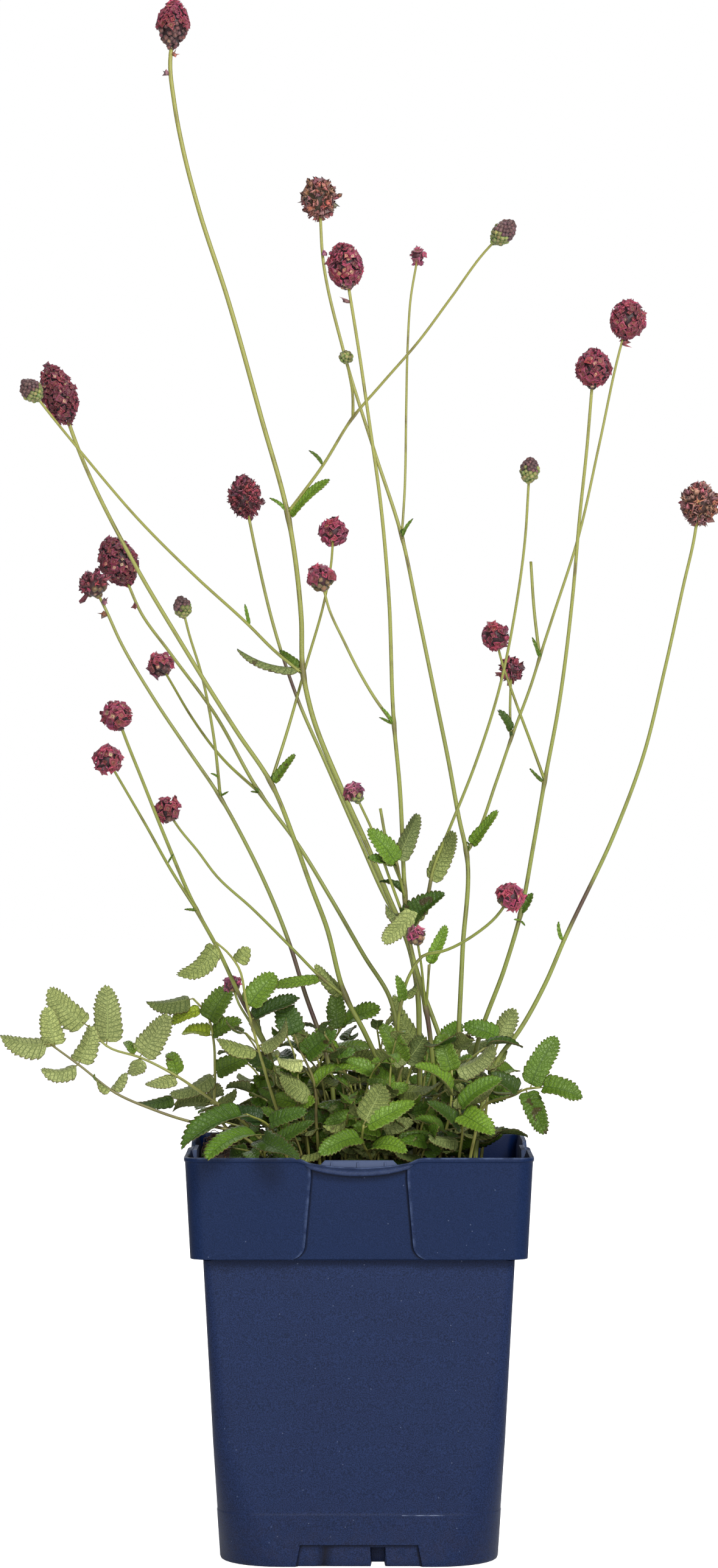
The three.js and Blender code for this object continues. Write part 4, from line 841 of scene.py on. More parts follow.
def leaflet(base, tip, width, turn, seed, young=None, under=False, toward=(0, -1)):
    """A toothed leaflet as a closed grid on two sides. It is an oblong with a heart-shaped foot, and
    its edge steps out in teeth that lean forward. It is folded along the midrib, arched along its
    length, bent and twisted a little, wavy at its edge and pleated between the side veins. Its turn
    tips the upper face from the sky towards a level direction; under shows its back there instead.
    Its marks are the count of teeth so far, the place across from -1 to 1, and 1 on the back. Its
    tint is youth, its own chance, and how brown it is."""
    rng = np.random.default_rng(seed)
    length = np.linalg.norm(tip - base)
    ahead = (tip - base) / length
    radians = math.radians(turn)
    face = np.array([toward[0] * math.sin(radians), toward[1] * math.sin(radians), math.cos(radians)])
    face = unit(face - ahead * (face @ ahead))
    side = np.cross(ahead, face)
    teeth = int(np.clip(round(length / TOOTH_SPACING), 4, 12))
    rows = 3 * teeth + 1
    t = (np.arange(rows) / (rows - 1) * LAST_ROW)[:, None]
    across = LEAF_COLUMNS[None]
    from_rib = np.abs(across)
    uneven = np.repeat(rng.uniform(0.6, 1.25, teeth + 1), 3)[:rows, None]
    tooth = TOOTH_ROWS[np.arange(rows) % 3][:, None] * uneven * np.clip(t / 0.06, 0, 1)
    rim = np.clip((from_rib - TOOTH_FROM) / (1 - TOOTH_FROM), 0, 1)
    outline = (1 - t ** 2.4) ** 0.68 * (0.14 + 0.86 * np.sqrt(1 - (1 - np.clip(t / 0.13, 0, 1)) ** 2))
    depth = min(TOOTH_DEPTH * width, 0.85)
    out = across * ((width - depth) / 2 * outline + depth * tooth * rim * np.clip(outline * 1.6, 0, 1))
    slant = VEIN_SLANT * np.sin(np.pi * t) ** 0.8 - BASE_LOBE * (1 - t) ** 8 * outline
    forward = t + from_rib * slant + TOOTH_LEAN / rows * (tooth * rim)
    share = STALKLET + (1 - STALKLET) * forward
    curve = 4 * share * (1 - share)
    phase = t / LAST_ROW * teeth
    flip = -1 if under else 1
    fold = rng.uniform(*FOLD) * (0.6 + 0.4 * (1 - t))
    bulge = PLEAT * np.cos(2 * np.pi * phase) * np.sin(np.pi * np.clip(from_rib, 0, 0.9))
    wave = 0.05 * width * np.sin(rng.uniform(4, 9) * t + 6 * rng.random()) * across * from_rib
    sag = rng.uniform(-0.03, 0.12) * length * share ** 2
    lift = flip * (fold * np.abs(out) + ARCH * rng.uniform(0.4, 1.4) * length * curve - bulge - sag) + wave
    twist = rng.normal(0, TWIST) * (share - 0.3)
    over = out * np.cos(twist) - lift * np.sin(twist) + rng.normal(0, 0.04) * length * curve
    lift = out * np.sin(twist) + lift * np.cos(twist)
    middle = base + ahead * (length * share)[..., None] + side * over[..., None] + face * lift[..., None]
    thick = face * BLADE / 2
    columns = len(LEAF_COLUMNS)
    top = (middle + thick).reshape(-1, 3)
    bottom = (middle - thick).reshape(-1, 3)
    upper = grid_faces(rows, columns, False)
    count = rows * columns
    index = np.arange(count).reshape(rows, columns)
    loop = np.concatenate([index[0, :-1], index[:-1, -1], index[-1, :0:-1], index[:0:-1, 0]])
    after = np.roll(loop, -1)
    strip = np.stack([loop, loop + count, after + count, after], -1)
    faces = np.concatenate([upper, upper[:, ::-1] + count, strip])
    young = rng.uniform(0, 0.45) if young is None else young
    brown = rng.choice([0, 0.15, 0.4, 1], p=[0.35, 0.35, 0.2, 0.1])
    flat = 0 * (across * t)
    marks = np.concatenate([np.stack([phase + flat, across + flat, back + flat], -1).reshape(-1, 3)
                            for back in (float(under), float(not under))])
    tint = np.tile([young, rng.random(), brown], (2 * count, 1))
    blade = (np.concatenate([top, bottom]), faces, marks, tint, 0)
    foot = middle[1, columns // 2] + ahead * 0.3
    line = np.stack([base, (base + foot) / 2 - face * 0.1, foot])
    stalklet = (*stalk(line, STALKLET_RADII, 5), STALKLET_TINT, 1)
    return [blade, stalklet]


# Where a shoot leaves its stem stands one small bract, this long and wide. It leans forward and up
# from the shoot's own way.
BRACT = [2.4, 1]
BRACT_LEAN = [0, -0.3, 0.2]
BRACT_TURN = [50, 60]


def grow(plan, start, thickness, stain, seed):
    """Grows one stem or shoot with its leaves, its own shoots and their bracts. Gives its patches,
    and its heads as (middle, axis, width, length, state)."""
    depth = plan["depth"]
    line = with_depth(plan["path"], start, depth[-1] if isinstance(depth, list) else depth)
    points = seen(line)
    heads = []
    if "head" in plan:
        width, length, state = plan["head"]
        axis = unit(points[-1] - points[-2])
        heads.append((points[-1].copy(), axis, width, length, state))
        points[-1] -= axis * (length / 2 + SEAT_GAP - TIP_RUNS_ON)
    shoots = [(shoot, depth_at(line, shoot["path"][0][1])) for shoot in plan.get("shoots", [])]
    joints = [seen([*shoot["path"][0], at]) for shoot, at in shoots]
    patches = []
    for number, leaf in enumerate(plan.get("leaves", [])):
        across, up, tip_across, tip_up, back, width, turn, *own = leaf
        young, under = own or (None, number % 3 == 1)
        depth_here = depth_at(line, up)
        base = seen([across, up, depth_here])
        joints.append(base)
        tip = seen([tip_across, tip_up, depth_here + back])
        patches += leaflet(base, tip, width, turn, seed * 31 + number, young, under)
    patches.append(pithy_stalk(points, plan.get("thick", thickness), joints, stain, seed))
    for number, (shoot, at) in enumerate(shoots):
        more, more_heads = grow(shoot, at, SHOOT_THICK, None, seed * 7 + number + 1)
        patches += more
        heads += more_heads
        foot = joints[number]
        bract = unit(unit(seen([*shoot["path"][1], at]) - foot) + BRACT_LEAN) * BRACT[0]
        patches += leaflet(foot, foot + bract, BRACT[1], BRACT_TURN[0], seed * 53 + number, 0)
    return patches, heads


# A living leaf of great burnet: a firm blade, satin above and matt below. Above it is a full green
# with sunken darker veins, below a grey olive with a dark net of meshes about a millimetre wide, and
# its edge is brown, as are some blotches. Young ones are fresher, and a few nearly yellow.
leaf = new_material("toothed_burnet_leaf")
place = add(leaf, "ShaderNodeTexCoord", {}, 3)
marks = add(leaf, "ShaderNodeAttribute", {}, 1, attribute_name="marks")
tint = add(leaf, "ShaderNodeAttribute", {}, 1, attribute_name="tint")
phase, across, below = [add(leaf, "ShaderNodeSeparateXYZ", {0: marks}, axis) for axis in range(3)]
youth, own, brown = [add(leaf, "ShaderNodeSeparateXYZ", {0: tint}, axis) for axis in range(3)]
from_rib = add(leaf, "ShaderNodeMath", {0: across}, operation="ABSOLUTE")
rib = add(leaf, "ShaderNodeMapRange", {0: from_rib, 1: 0.02, 2: 0.07, 3: 1.0, 4: 0.0})
beside = add(leaf, "ShaderNodeMath", {0: phase, 1: 0.5}, operation="PINGPONG")
vein = add(leaf, "ShaderNodeMapRange", {0: beside, 1: 0.02, 2: 0.09, 3: 0.9, 4: 0.0})
net = add(leaf, "ShaderNodeTexVoronoi", {"Vector": place, "Scale": 850.0}, feature="DISTANCE_TO_EDGE")
net = add(leaf, "ShaderNodeMapRange", {0: net, 1: 0.0, 2: 0.12, 3: 0.6, 4: 0.0})
veins = add(leaf, "ShaderNodeMath", {0: rib, 1: vein}, operation="MAXIMUM")
mesh_net = add(leaf, "ShaderNodeMath", {0: veins, 1: net}, operation="MAXIMUM")
blotch = add(leaf, "ShaderNodeTexNoise", {"Vector": place, "Scale": 150.0, "Detail": 4.0})
old_green = add(leaf, "ShaderNodeMix", {0: own, 6: linear("#263d13"), 7: linear("#648a29")}, 2,
                data_type="RGBA")
fresh = add(leaf, "ShaderNodeMix", {0: youth, 6: old_green, 7: linear("#8cac34")}, 2, data_type="RGBA")
yellow = add(leaf, "ShaderNodeMapRange", {0: youth, 1: 0.9, 2: 1.0, 3: 0.0, 4: 0.85})
fresh = add(leaf, "ShaderNodeMix", {0: yellow, 6: fresh, 7: linear("#b9c63a")}, 2, data_type="RGBA")
lit = add(leaf, "ShaderNodeMix", {0: blotch, 6: linear("#a4a47e"), 7: linear("#ffffff")}, 2, data_type="RGBA")
fresh = add(leaf, "ShaderNodeMix", {0: 0.8, 6: fresh, 7: lit}, 2, data_type="RGBA", blend_type="MULTIPLY")
upper_net = add(leaf, "ShaderNodeMath", {0: mesh_net, 1: 0.6}, operation="MULTIPLY")
upper = add(leaf, "ShaderNodeMix", {0: upper_net, 6: fresh, 7: linear("#223c15")}, 2, data_type="RGBA")
grey_green = add(leaf, "ShaderNodeMix", {0: own, 6: linear("#455529"), 7: linear("#88954c")}, 2,
                 data_type="RGBA")
grey_green = add(leaf, "ShaderNodeMix", {0: youth, 6: grey_green, 7: linear("#c8d08a")}, 2, data_type="RGBA")
grey_green = add(leaf, "ShaderNodeMix", {0: 0.7, 6: grey_green, 7: lit}, 2, data_type="RGBA",
                 blend_type="MULTIPLY")
under_net = add(leaf, "ShaderNodeMath", {0: mesh_net, 1: 0.9}, operation="MULTIPLY")
lower = add(leaf, "ShaderNodeMix", {0: under_net, 6: grey_green, 7: linear("#34491f")}, 2, data_type="RGBA")
pale_rib = add(leaf, "ShaderNodeMath", {0: rib, 1: 0.6}, operation="MULTIPLY")
lower = add(leaf, "ShaderNodeMix", {0: pale_rib, 6: lower, 7: linear("#a2ad68")}, 2, data_type="RGBA")
skin = add(leaf, "ShaderNodeMix", {0: below, 6: upper, 7: lower}, 2, data_type="RGBA")
edge = add(leaf, "ShaderNodeMapRange", {0: from_rib, 1: 0.93, 2: 1.0, 3: 0.0, 4: 0.55})
skin = add(leaf, "ShaderNodeMix", {0: edge, 6: skin, 7: linear("#5d3a28")}, 2, data_type="RGBA")
spots = add(leaf, "ShaderNodeTexNoise", {"Vector": place, "Scale": 260.0, "Detail": 3.0})
limit = add(leaf, "ShaderNodeMapRange", {0: brown, 1: 0.0, 2: 1.0, 3: 0.8, 4: 0.6})
spots = add(leaf, "ShaderNodeMath", {0: spots, 1: limit}, operation="SUBTRACT")
spots = add(leaf, "ShaderNodeMapRange", {0: spots, 1: 0.0, 2: 0.05, 3: 0.0, 4: 0.8})
skin = add(leaf, "ShaderNodeMix", {0: spots, 6: skin, 7: linear("#3b2a1a")}, 2, data_type="RGBA")
raised = add(leaf, "ShaderNodeMath", {0: mesh_net, 1: -1.0}, operation="MULTIPLY")
bump = add(leaf, "ShaderNodeBump", {"Strength": 0.6, "Distance": 0.0003, "Height": raised})
gloss = add(leaf, "ShaderNodeMapRange", {0: below, 1: 0.0, 2: 1.0, 3: 0.45, 4: 0.7})
shader = add(leaf, "ShaderNodeBsdfPrincipled", {"Base Color": skin, "Roughness": gloss, "IOR": 1.42,
                                                "Specular IOR Level": 0.4, "Normal": bump})
add(leaf, "ShaderNodeOutputMaterial", {"Surface": shader})

# The living skin of the stems and leaf stalks: a waxy yellow green that is paler on its ribs and
# darker in the grooves between them, partly its own colour and partly painted shade, stained and
# flecked purple brown in streaks that run some seven millimetres along the stalk.
green_skin = new_material("ribbed_green_stalk_skin")
marks = add(green_skin, "ShaderNodeAttribute", {}, 1, attribute_name="marks")
tint = add(green_skin, "ShaderNodeAttribute", {}, 1, attribute_name="tint")
along, ridge = [add(green_skin, "ShaderNodeSeparateXYZ", {0: marks}, axis) for axis in range(2)]
stain, youth, own = [add(green_skin, "ShaderNodeSeparateXYZ", {0: tint}, axis) for axis in range(3)]
green = add(green_skin, "ShaderNodeMix", {0: youth, 6: linear("#7b843b"), 7: linear("#918f48")}, 2,
            data_type="RGBA")
# Darker in the grooves between the ribs: partly the skin's own colour and partly painted shade.
rib_groove_tone_and_shade = add(green_skin, "ShaderNodeMapRange", {0: ridge, 1: -1.0, 2: 0.6, 3: 0.4, 4: 0.0})
green = add(green_skin, "ShaderNodeMix", {0: rib_groove_tone_and_shade, 6: green, 7: linear("#5f6a2c")}, 2, data_type="RGBA")
along = add(green_skin, "ShaderNodeMath", {0: along, 1: 0.14}, operation="MULTIPLY")
apart = add(green_skin, "ShaderNodeMath", {0: own, 1: 40.0}, operation="MULTIPLY")
streak = add(green_skin, "ShaderNodeCombineXYZ", {0: along, 1: ridge, 2: apart})
streak = add(green_skin, "ShaderNodeTexNoise", {"Vector": streak, "Scale": 1.0, "Detail": 3.0})
fleck = add(green_skin, "ShaderNodeMapRange", {0: streak, 1: 0.6, 2: 0.67, 3: 0.0, 4: 0.85})
shade = add(green_skin, "ShaderNodeMapRange", {0: streak, 1: 0.3, 2: 0.6, 3: 0.6, 4: 1.0})
stained = add(green_skin, "ShaderNodeMath", {0: stain, 1: shade}, operation="MULTIPLY")
dark = add(green_skin, "ShaderNodeMath", {0: stained, 1: fleck}, operation="MAXIMUM")
green = add(green_skin, "ShaderNodeMix", {0: dark, 6: green, 7: linear("#45292b")}, 2, data_type="RGBA")
bump = add(green_skin, "ShaderNodeBump", {"Strength": 0.2, "Distance": 0.0001, "Height": streak})
shader = add(green_skin, "ShaderNodeBsdfPrincipled", {"Base Color": green, "Roughness": 0.46, "IOR": 1.45,
                                                      "Normal": bump})
add(green_skin, "ShaderNodeOutputMaterial", {"Surface": shader})

stems = []
heads = []
for number, plan in enumerate(STEMS, 1):
    patches, own_heads = grow(plan, plan["depth"][0], STEM_THICK, STAINS.get(number), number)
    stems.append(patches)
    heads += own_heads

# The other bracts are small green scales, like leaves that never grew out, at joints and on bare
# stems. Each stays on the stem that it is seen on: across, up, the tip's across and up, and the width.
BRACT_FORWARD = 0.6
BRACT_YOUTH = 0.3
BRACTS = [
    [-12, 354.5, -16, 359.5, 1.2], [-36, 302, -37.5, 309, 1.2], [14, 331, 17.5, 337, 1.2],
    [67, 199, 65.5, 204.5, 1.3], [-23.5, 339, -29, 344, 1.2], [-53, 208.5, -57, 209, 1],
    [-62, 225, -61, 227, 0.6], [-45.5, 246, -43, 247.5, 0.7], [-46, 251, -48.5, 253.5, 0.7],
    [-33, 247, -35.5, 247.5, 0.7], [11, 269.5, 7, 272, 1], [11, 269.5, 7.5, 275, 1],
    [60.5, 250.5, 56.5, 255, 1.2], [59, 291.5, 57, 298, 1.2], [36, 229, 35.5, 231, 0.6],
    [53, 205, 51, 205.5, 0.7], [53, 205, 54.5, 203.5, 0.7],
]


def nearest_as_seen(across, up):
    """The number of the stem, and the place on it, that is seen nearest to a place."""
    found = []
    for index, patches in enumerate(stems):
        points = np.concatenate([patch[0] for patch in patches if patch[4] == 1])
        shrink = EYE_DISTANCE / (EYE_DISTANCE + points[:, 1])
        seen_up = EYE_HEIGHT + (points[:, 2] - EYE_HEIGHT) * shrink
        away = np.hypot(points[:, 0] * shrink - across, seen_up - up)
        found.append((away.min(), index, points[away.argmin()]))
    return min(found, key=lambda entry: entry[0])[1:]


for number, (across, up, tip_across, tip_up, width) in enumerate(BRACTS):
    index, foot = nearest_as_seen(across, up)
    tip = seen([tip_across, tip_up, foot[1] - BRACT_FORWARD])
    stems[index] += leaflet(foot, tip, width, BRACT_TURN[1], 70 + number, BRACT_YOUTH)
for number, patches in enumerate(stems, 1):
    smooth_piece(f"flower_stem_{number:02d}", patches, [leaf, green_skin], [f"stem_{number:02d}"])

# The fronds are feather leaves: a wiry petiole out of the crown, with toothed leaflets on short stalks
# in opposite pairs and one at the tip. Some stand up in the clump, and some trail over the rim.
PETIOLE_THICK = [0.62, 0.36]
PETIOLE_SIDES = 8
PETIOLE_RELIEF = 0.05
# Each as it is seen: its petiole as [across, up, depth] from the soil out, and its leaflets as [along
# the petiole from 0 to 1, tip: across, up, depth, width, turn]. A turn of 0 degrees has the upper side
# to the sky and 90 to the front.
FRONDS = [
    {"petiole": [[-27, ROOT_UP, -8], [-33, 130, -10], [-42, 136, -12], [-50.5, 138, -14],
                 [-57, 139.5, -15], [-67.5, 143, -17], [-80, 148.5, -18], [-91.7, 157.5, -18],
                 [-101.3, 164.5, -18]],
     "leaflets": [[1, -117.5, 167.5, -18, 8, 50], [0.98, -102.5, 176.5, -14, 7.5, 70],
                  [0.88, -88, 170.5, -14, 7.5, 60], [0.88, -104.3, 155.8, -23, 6, 50],
                  [0.73, -87.5, 153.5, -23, 3.8, 45], [0.73, -76.5, 154.5, -14, 3.8, 45]]},
    {"petiole": [[-24, ROOT_UP, 1], [-31, 130, 0], [-38, 139, -2], [-46.5, 145, -4], [-53, 149.5, -5],
                 [-59, 153.5, -6], [-71.5, 160, -7], [-83, 164, -7], [-89, 170.5, -7]],
     "leaflets": [[1, -102, 182.5, -7, 9, 65], [0.9, -83, 183.5, -3, 9.5, 70],
                  [0.77, -62.5, 174, -3, 9, 70], [0.79, -77, 166, 1, 3, 50],
                  [0.77, -75, 154, -15, 5.5, 40], [0.61, -70, 150, -14, 5.5, 45],
                  [0.61, -62, 162, 1, 5.5, 45]]},
    {"petiole": [[-30, ROOT_UP, 10], [-38, 130, 11], [-47, 143, 10], [-47.3, 155, 9], [-47.8, 166, 8],
                 [-50, 174.5, 7], [-54.5, 179.5, 6]],
     "leaflets": [[1, -69.5, 177.5, 4, 7.5, 45], [0.86, -42.5, 183.5, 5, 8, 60],
                  [0.8, -39.5, 172.5, 3, 6.5, 50], [0.8, -58, 168, 12, 6, 40],
                  [0.93, -62.5, 172, 10, 4.5, 60], [0.62, -36, 161, 5, 7, 55],
                  [0.62, -61.5, 147, 6, 7, 35], [0.47, -40, 149, 6, 5, 50]]},
    {"petiole": [[-17, ROOT_UP, -14], [-26, 140, -20], [-33, 163, -26], [-37, 178, -29],
                 [-39.7, 190, -31], [-43, 194.5, -32], [-47, 198, -33]],
     "leaflets": [[1, -59, 186.5, -36, 7, 60], [0.9, -36, 196, -28, 5.5, 50],
                  [0.72, -27.5, 187.5, -24, 8, 70], [0.68, -20, 180, -30, 7, 40],
                  [0.58, -23, 172, -38, 7, 50], [0.56, -47, 165, -31, 7, 40]]},
    {"petiole": [[-12, ROOT_UP, -18], [-14, 138, -22], [-15, 153, -25], [-19, 162, -26],
                 [-21, 167, -26.5]],
     "leaflets": [[1, -25, 178, -25, 9, 78], [0.86, -7.7, 169.5, -31, 7.5, 65],
                  [0.84, -27, 160, -36, 6.5, 50], [0.6, -26, 154, -34, 7.5, 60],
                  [0.66, -2, 157, -30, 6.5, 40]]},
    {"petiole": [[-20, ROOT_UP, -24], [-25, 130, -31], [-30, 138, -40], [-37, 141.5, -50]],
     "leaflets": [[1, -57.5, 130, -67, 9.5, 40], [0.75, -44, 142, -40, 7.5, 45],
                  [0.7, -18, 143, -45, 6.5, 50]]},
    {"petiole": [[-29, ROOT_UP, -34], [-31, 128, -41], [-32.5, 134.5, -49]],
     "leaflets": [[1, -50, 127.5, -72, 8.5, 35], [0.95, -20, 127, -69, 8, 65],
                  [0.6, -15, 139, -50, 5.5, 50]]},
    {"petiole": [[-3, ROOT_UP, 13], [-8, 138, 16], [-14.5, 154, 17], [-10, 163, 16], [-5.7, 170, 14]],
     "leaflets": [[1, 6, 177, 10, 8, 35], [0.97, -7, 182, 18, 6.5, 75], [0.82, 4, 164, 9, 7, 35],
                  [0.8, -22, 170, 22, 7, 50], [0.6, -28, 158, 22, 7.5, 50], [0.6, 0, 153, 17, 6.5, 40]]},
    {"petiole": [[8, ROOT_UP, -26], [4, 127, -32], [1, 133, -40], [1.5, 138, -45]],
     "leaflets": [[1, 8, 151, -48, 9, 82], [0.8, -13, 128.5, -53, 7.5, 55],
                  [0.95, 18, 146, -43, 7, 55], [0.55, 15, 130, -45, 6.5, 45]]},
    {"petiole": [[17, ROOT_UP, 19], [20, 140, 23], [22.5, 161.5, 25]],
     "leaflets": [[1, 10.5, 180, 26, 7, 60], [0.9, 33, 172, 33, 8, 50], [0.72, 7, 163, 26, 7.5, 50],
                  [0.72, 36, 158, 34, 7.5, 50], [0.52, 7, 150, 26, 7, 50], [0.52, 34, 146, 33, 7, 50]]},
    {"petiole": [[7, ROOT_UP, -14], [8, 135, -18], [12, 150, -22], [14.5, 158, -24]],
     "leaflets": [[1, 21.5, 167, -27, 7, 70], [0.97, 7, 171, -25, 7.5, 70], [0.8, -5, 160, -26, 7, 45],
                  [0.78, 27, 151, -31, 7, 45], [0.55, -5, 147, -25, 6.5, 45]]},
    {"petiole": [[25, ROOT_UP, -20], [27, 130, -24], [30, 143, -28], [30.5, 156, -31]],
     "leaflets": [[1, 45, 163.5, -35, 7.5, 45], [0.97, 27, 168, -29, 7, 65],
                  [0.8, 18, 157, -38, 7, 45], [0.75, 44, 150, -39, 7, 45],
                  [0.5, 20, 141, -37, 6.5, 45]]},
    {"petiole": [[39, ROOT_UP, 6], [41, 135, 6], [42.5, 150, 5], [44, 160, 4], [46, 166, 3]],
     "leaflets": [[1, 35, 171, 0, 7, 55], [0.98, 51, 176, 4, 7, 70], [0.75, 33, 154, 1, 7, 55],
                  [0.72, 52, 157, 18, 7, 45]]},
    {"petiole": [[35, ROOT_UP, -15], [37.5, 132, -17], [41.5, 144.5, -18], [51.5, 148, -22],
                 [54, 149.5, -23], [59.5, 150.3, -25]],
     "leaflets": [[0.93, 65, 167, -21, 8, 72], [1, 73, 147.5, -29, 7.5, 55],
                  [0.9, 61, 135, -33, 7, 65], [0.85, 43.5, 155, -25, 6.5, 50]]},
    {"petiole": [[32, ROOT_UP, -28], [33, 128, -33], [34, 138, -38], [33, 143, -41]],
     "leaflets": [[1, 47, 153, -45, 6.5, 50], [0.95, 44, 134.5, -50, 8, 65],
                  [0.75, 24, 146, -46, 6, 50], [0.6, 23, 134, -44, 6, 50]]},
]

# The leaflets that show their back and those of a fresh yellow green, by frond, and the fronds whose
# youth isn't left to chance.
UNDERSIDES = {1: [0, 1, 2, 3, 4, 5], 2: [0, 1, 2, 4, 5], 3: [0, 6, 7], 4: [0, 1, 4, 5], 5: [2, 3],
              8: [3, 4], 9: [0], 10: [0, 2, 4], 11: [0, 3], 12: [0, 3], 13: [1, 2], 15: [3]}
YELLOWISH = {3: [3, 4], 5: [2]}
YELLOW_YOUTH = 0.97
FROND_YOUTH = {1: 0.5, 2: 0.5, 6: 0, 7: 0.05}
# The fronds at the back arch over by rule: the petiole, how many pairs of leaflets, and the length of
# the largest one.
BACK_FRONDS = [
    [[[-14, ROOT_UP, 24], [-18, 140, 28], [-24, 153, 37], [-31, 156, 48]], 2, 17],
    [[[5, ROOT_UP, 27], [5, 140, 32], [4, 152, 43], [3, 154, 58]], 3, 15],
    [[[27, ROOT_UP, 25], [31, 140, 32], [37, 151, 42], [43, 151, 52]], 2, 16],
    [[[-26, ROOT_UP, 20], [-38, 137, 26], [-50, 146, 33], [-60, 147, 40]], 2, 16],
]
PAIR_WIDTH = 0.52
PAIR_FORWARD = 0.45
PAIR_FIRST = 0.45


def point_along(points, share):
    """The place a share of the way along a path."""
    along = run(points)
    return np.array([np.interp(share * along[-1], along, points[:, axis]) for axis in range(3)])


def petiole_stalk(points, thick, seed):
    """A leaf stalk as a tube that tapers evenly along its points. Its tint is how red it is, which
    some are from near the foot on, how pale and young it is, most at the foot, and its own chance."""
    rng = np.random.default_rng(seed)
    path = smooth_path(points, PATH_STEP)
    share = run(path) / run(path)[-1]
    radii = np.interp(share, [0, 1], thick)
    tube_points, faces, marks = stalk(path, radii, PETIOLE_SIDES, PETIOLE_RELIEF)
    red = rng.choice([0, 0.08, 0.2, 0.6], p=[0.35, 0.3, 0.2, 0.15]) * smooth_step(share, 0.1, 0.6)
    tint = np.stack([red, 1 - 0.5 * share, np.full(len(share), rng.random())], -1)
    tint = np.concatenate([np.repeat(tint, PETIOLE_SIDES, 0), tint[[0, -1]]])
    return tube_points, faces, marks, tint, 1


def pinnate(points, pairs, length, seed, thick=PETIOLE_THICK, young=None):
    """A feather leaf by rule: its stalk, leaflets in opposite pairs from PAIR_FIRST on, which point
    forward and out and hang a little, and one at the tip. Each turns its face, or its back, more or
    less to where the leaf leans."""
    rng = np.random.default_rng(seed)
    patches = [petiole_stalk(points, thick, seed)]
    leans = unit(points[-1, :2] - points[0, :2])
    for pair in range(pairs + 1):
        share = PAIR_FIRST + (1 - PAIR_FIRST) * pair / pairs
        base = point_along(points, share)
        ahead = unit(point_along(points, min(share + 0.05, 1)) - point_along(points, share - 0.05))
        out = unit(np.array([ahead[1], -ahead[0], 0]))
        size = length * (0.75 + 0.25 * math.sin(math.pi * (pair + 0.5) / (pairs + 1)))
        for way in ([0] if pair == pairs else [1, -1]):
            to_tip = ahead * (PAIR_FORWARD if way else 1) + out * way + rng.normal(0, 0.22, 3)
            to_tip[2] = to_tip[2] * 0.6 - 0.1
            tip = base + unit(to_tip) * size * rng.uniform(0.8, 1.15)
            patches += leaflet(base, tip, size * PAIR_WIDTH * rng.uniform(0.85, 1.15), rng.uniform(15, 80),
                               seed * 17 + 2 * pair + (way > 0), young, rng.random() < 0.4, leans)
    return patches


fronds = []
for number, plan in enumerate(FRONDS, 1):
    points = seen(plan["petiole"])
    patches = [petiole_stalk(points, PETIOLE_THICK, 500 + number)]
    for place_number, (share, across, up, depth, width, turn) in enumerate(plan["leaflets"]):
        young = FROND_YOUTH.get(number)
        young = YELLOW_YOUTH if place_number in YELLOWISH.get(number, []) else young
        under = place_number in UNDERSIDES.get(number, [])
        patches += leaflet(point_along(points, share), seen([across, up, depth]), width, turn,
                           900 + number * 40 + place_number, young, under)
    fronds.append(patches)
for number, (petiole, pairs, length) in enumerate(BACK_FRONDS, 1):
    fronds.append(pinnate(seen(petiole), pairs, length, 1700 + number))

# Younger and smaller leaves fill the clump between the measured ones. Each rises out of the crown
# along a sine while it leans out by a power of its length, both by a seeded draw, and belongs to the
# frond whose foot is nearest.
FILLERS = 96
FILLER_REGION = [[-46, 42], [-36, 40]]
FILLER_DRAWN_IN = [0.62, 0.7]
FILLER_ROOT_UP = 121.0
FILLER_WANDER = 8
FILLER_REACH = [4, 18]
FILLER_LEAN = 1.6
FILLER_ARC = 1.45
FILLER_RISE = [8, 50]
FILLER_LEAFLET = [7, 15]
FILLER_THICK = [0.46, 0.3]
FILLER_YOUTHS = [0, 0.15, 0.3, 0.5, 0.95]
FILLER_YOUTH_CHANCES = [0.3, 0.3, 0.22, 0.13, 0.05]
feet = np.array([frond[0][0][0] for frond in fronds])
filler_rng = np.random.default_rng(5)
for number in range(FILLERS):
    x, y = (filler_rng.uniform(*span) for span in FILLER_REGION)
    foot = np.array([FILLER_DRAWN_IN[0] * x, FILLER_DRAWN_IN[1] * y, FILLER_ROOT_UP])
    rise = filler_rng.uniform(*FILLER_RISE)
    outward = unit(np.array([x, y, 0.0]) + filler_rng.normal(0, FILLER_WANDER, 3) * [1, 1, 0])
    reach = filler_rng.uniform(*FILLER_REACH)
    share = np.linspace(0, 1, 5)[:, None]
    climb = np.array([0, 0, 1]) * rise * np.sin(share * FILLER_ARC)
    points = foot + outward * reach * share ** FILLER_LEAN + climb
    young = filler_rng.choice(FILLER_YOUTHS, p=FILLER_YOUTH_CHANCES)
    patches = pinnate(points, int(filler_rng.integers(1, 4)), filler_rng.uniform(*FILLER_LEAFLET),
                      2000 + number, FILLER_THICK, young)
    nearest = int(np.linalg.norm(feet[:, :2] - foot[:2], axis=1).argmin())
    fronds[nearest] += patches

for number, patches in enumerate(fronds, 1):
    smooth_piece(f"feather_leaf_{number:02d}", patches, [leaf, green_skin], [f"frond_{number:02d}"])

# A flower head is a dense egg of small flowers with four crimson sepals each and no petals, which
# open from the top down. Closed ones are dark knobs, spent ones are brown and ragged.
GOLDEN_TURN = math.pi * (3 - math.sqrt(5))
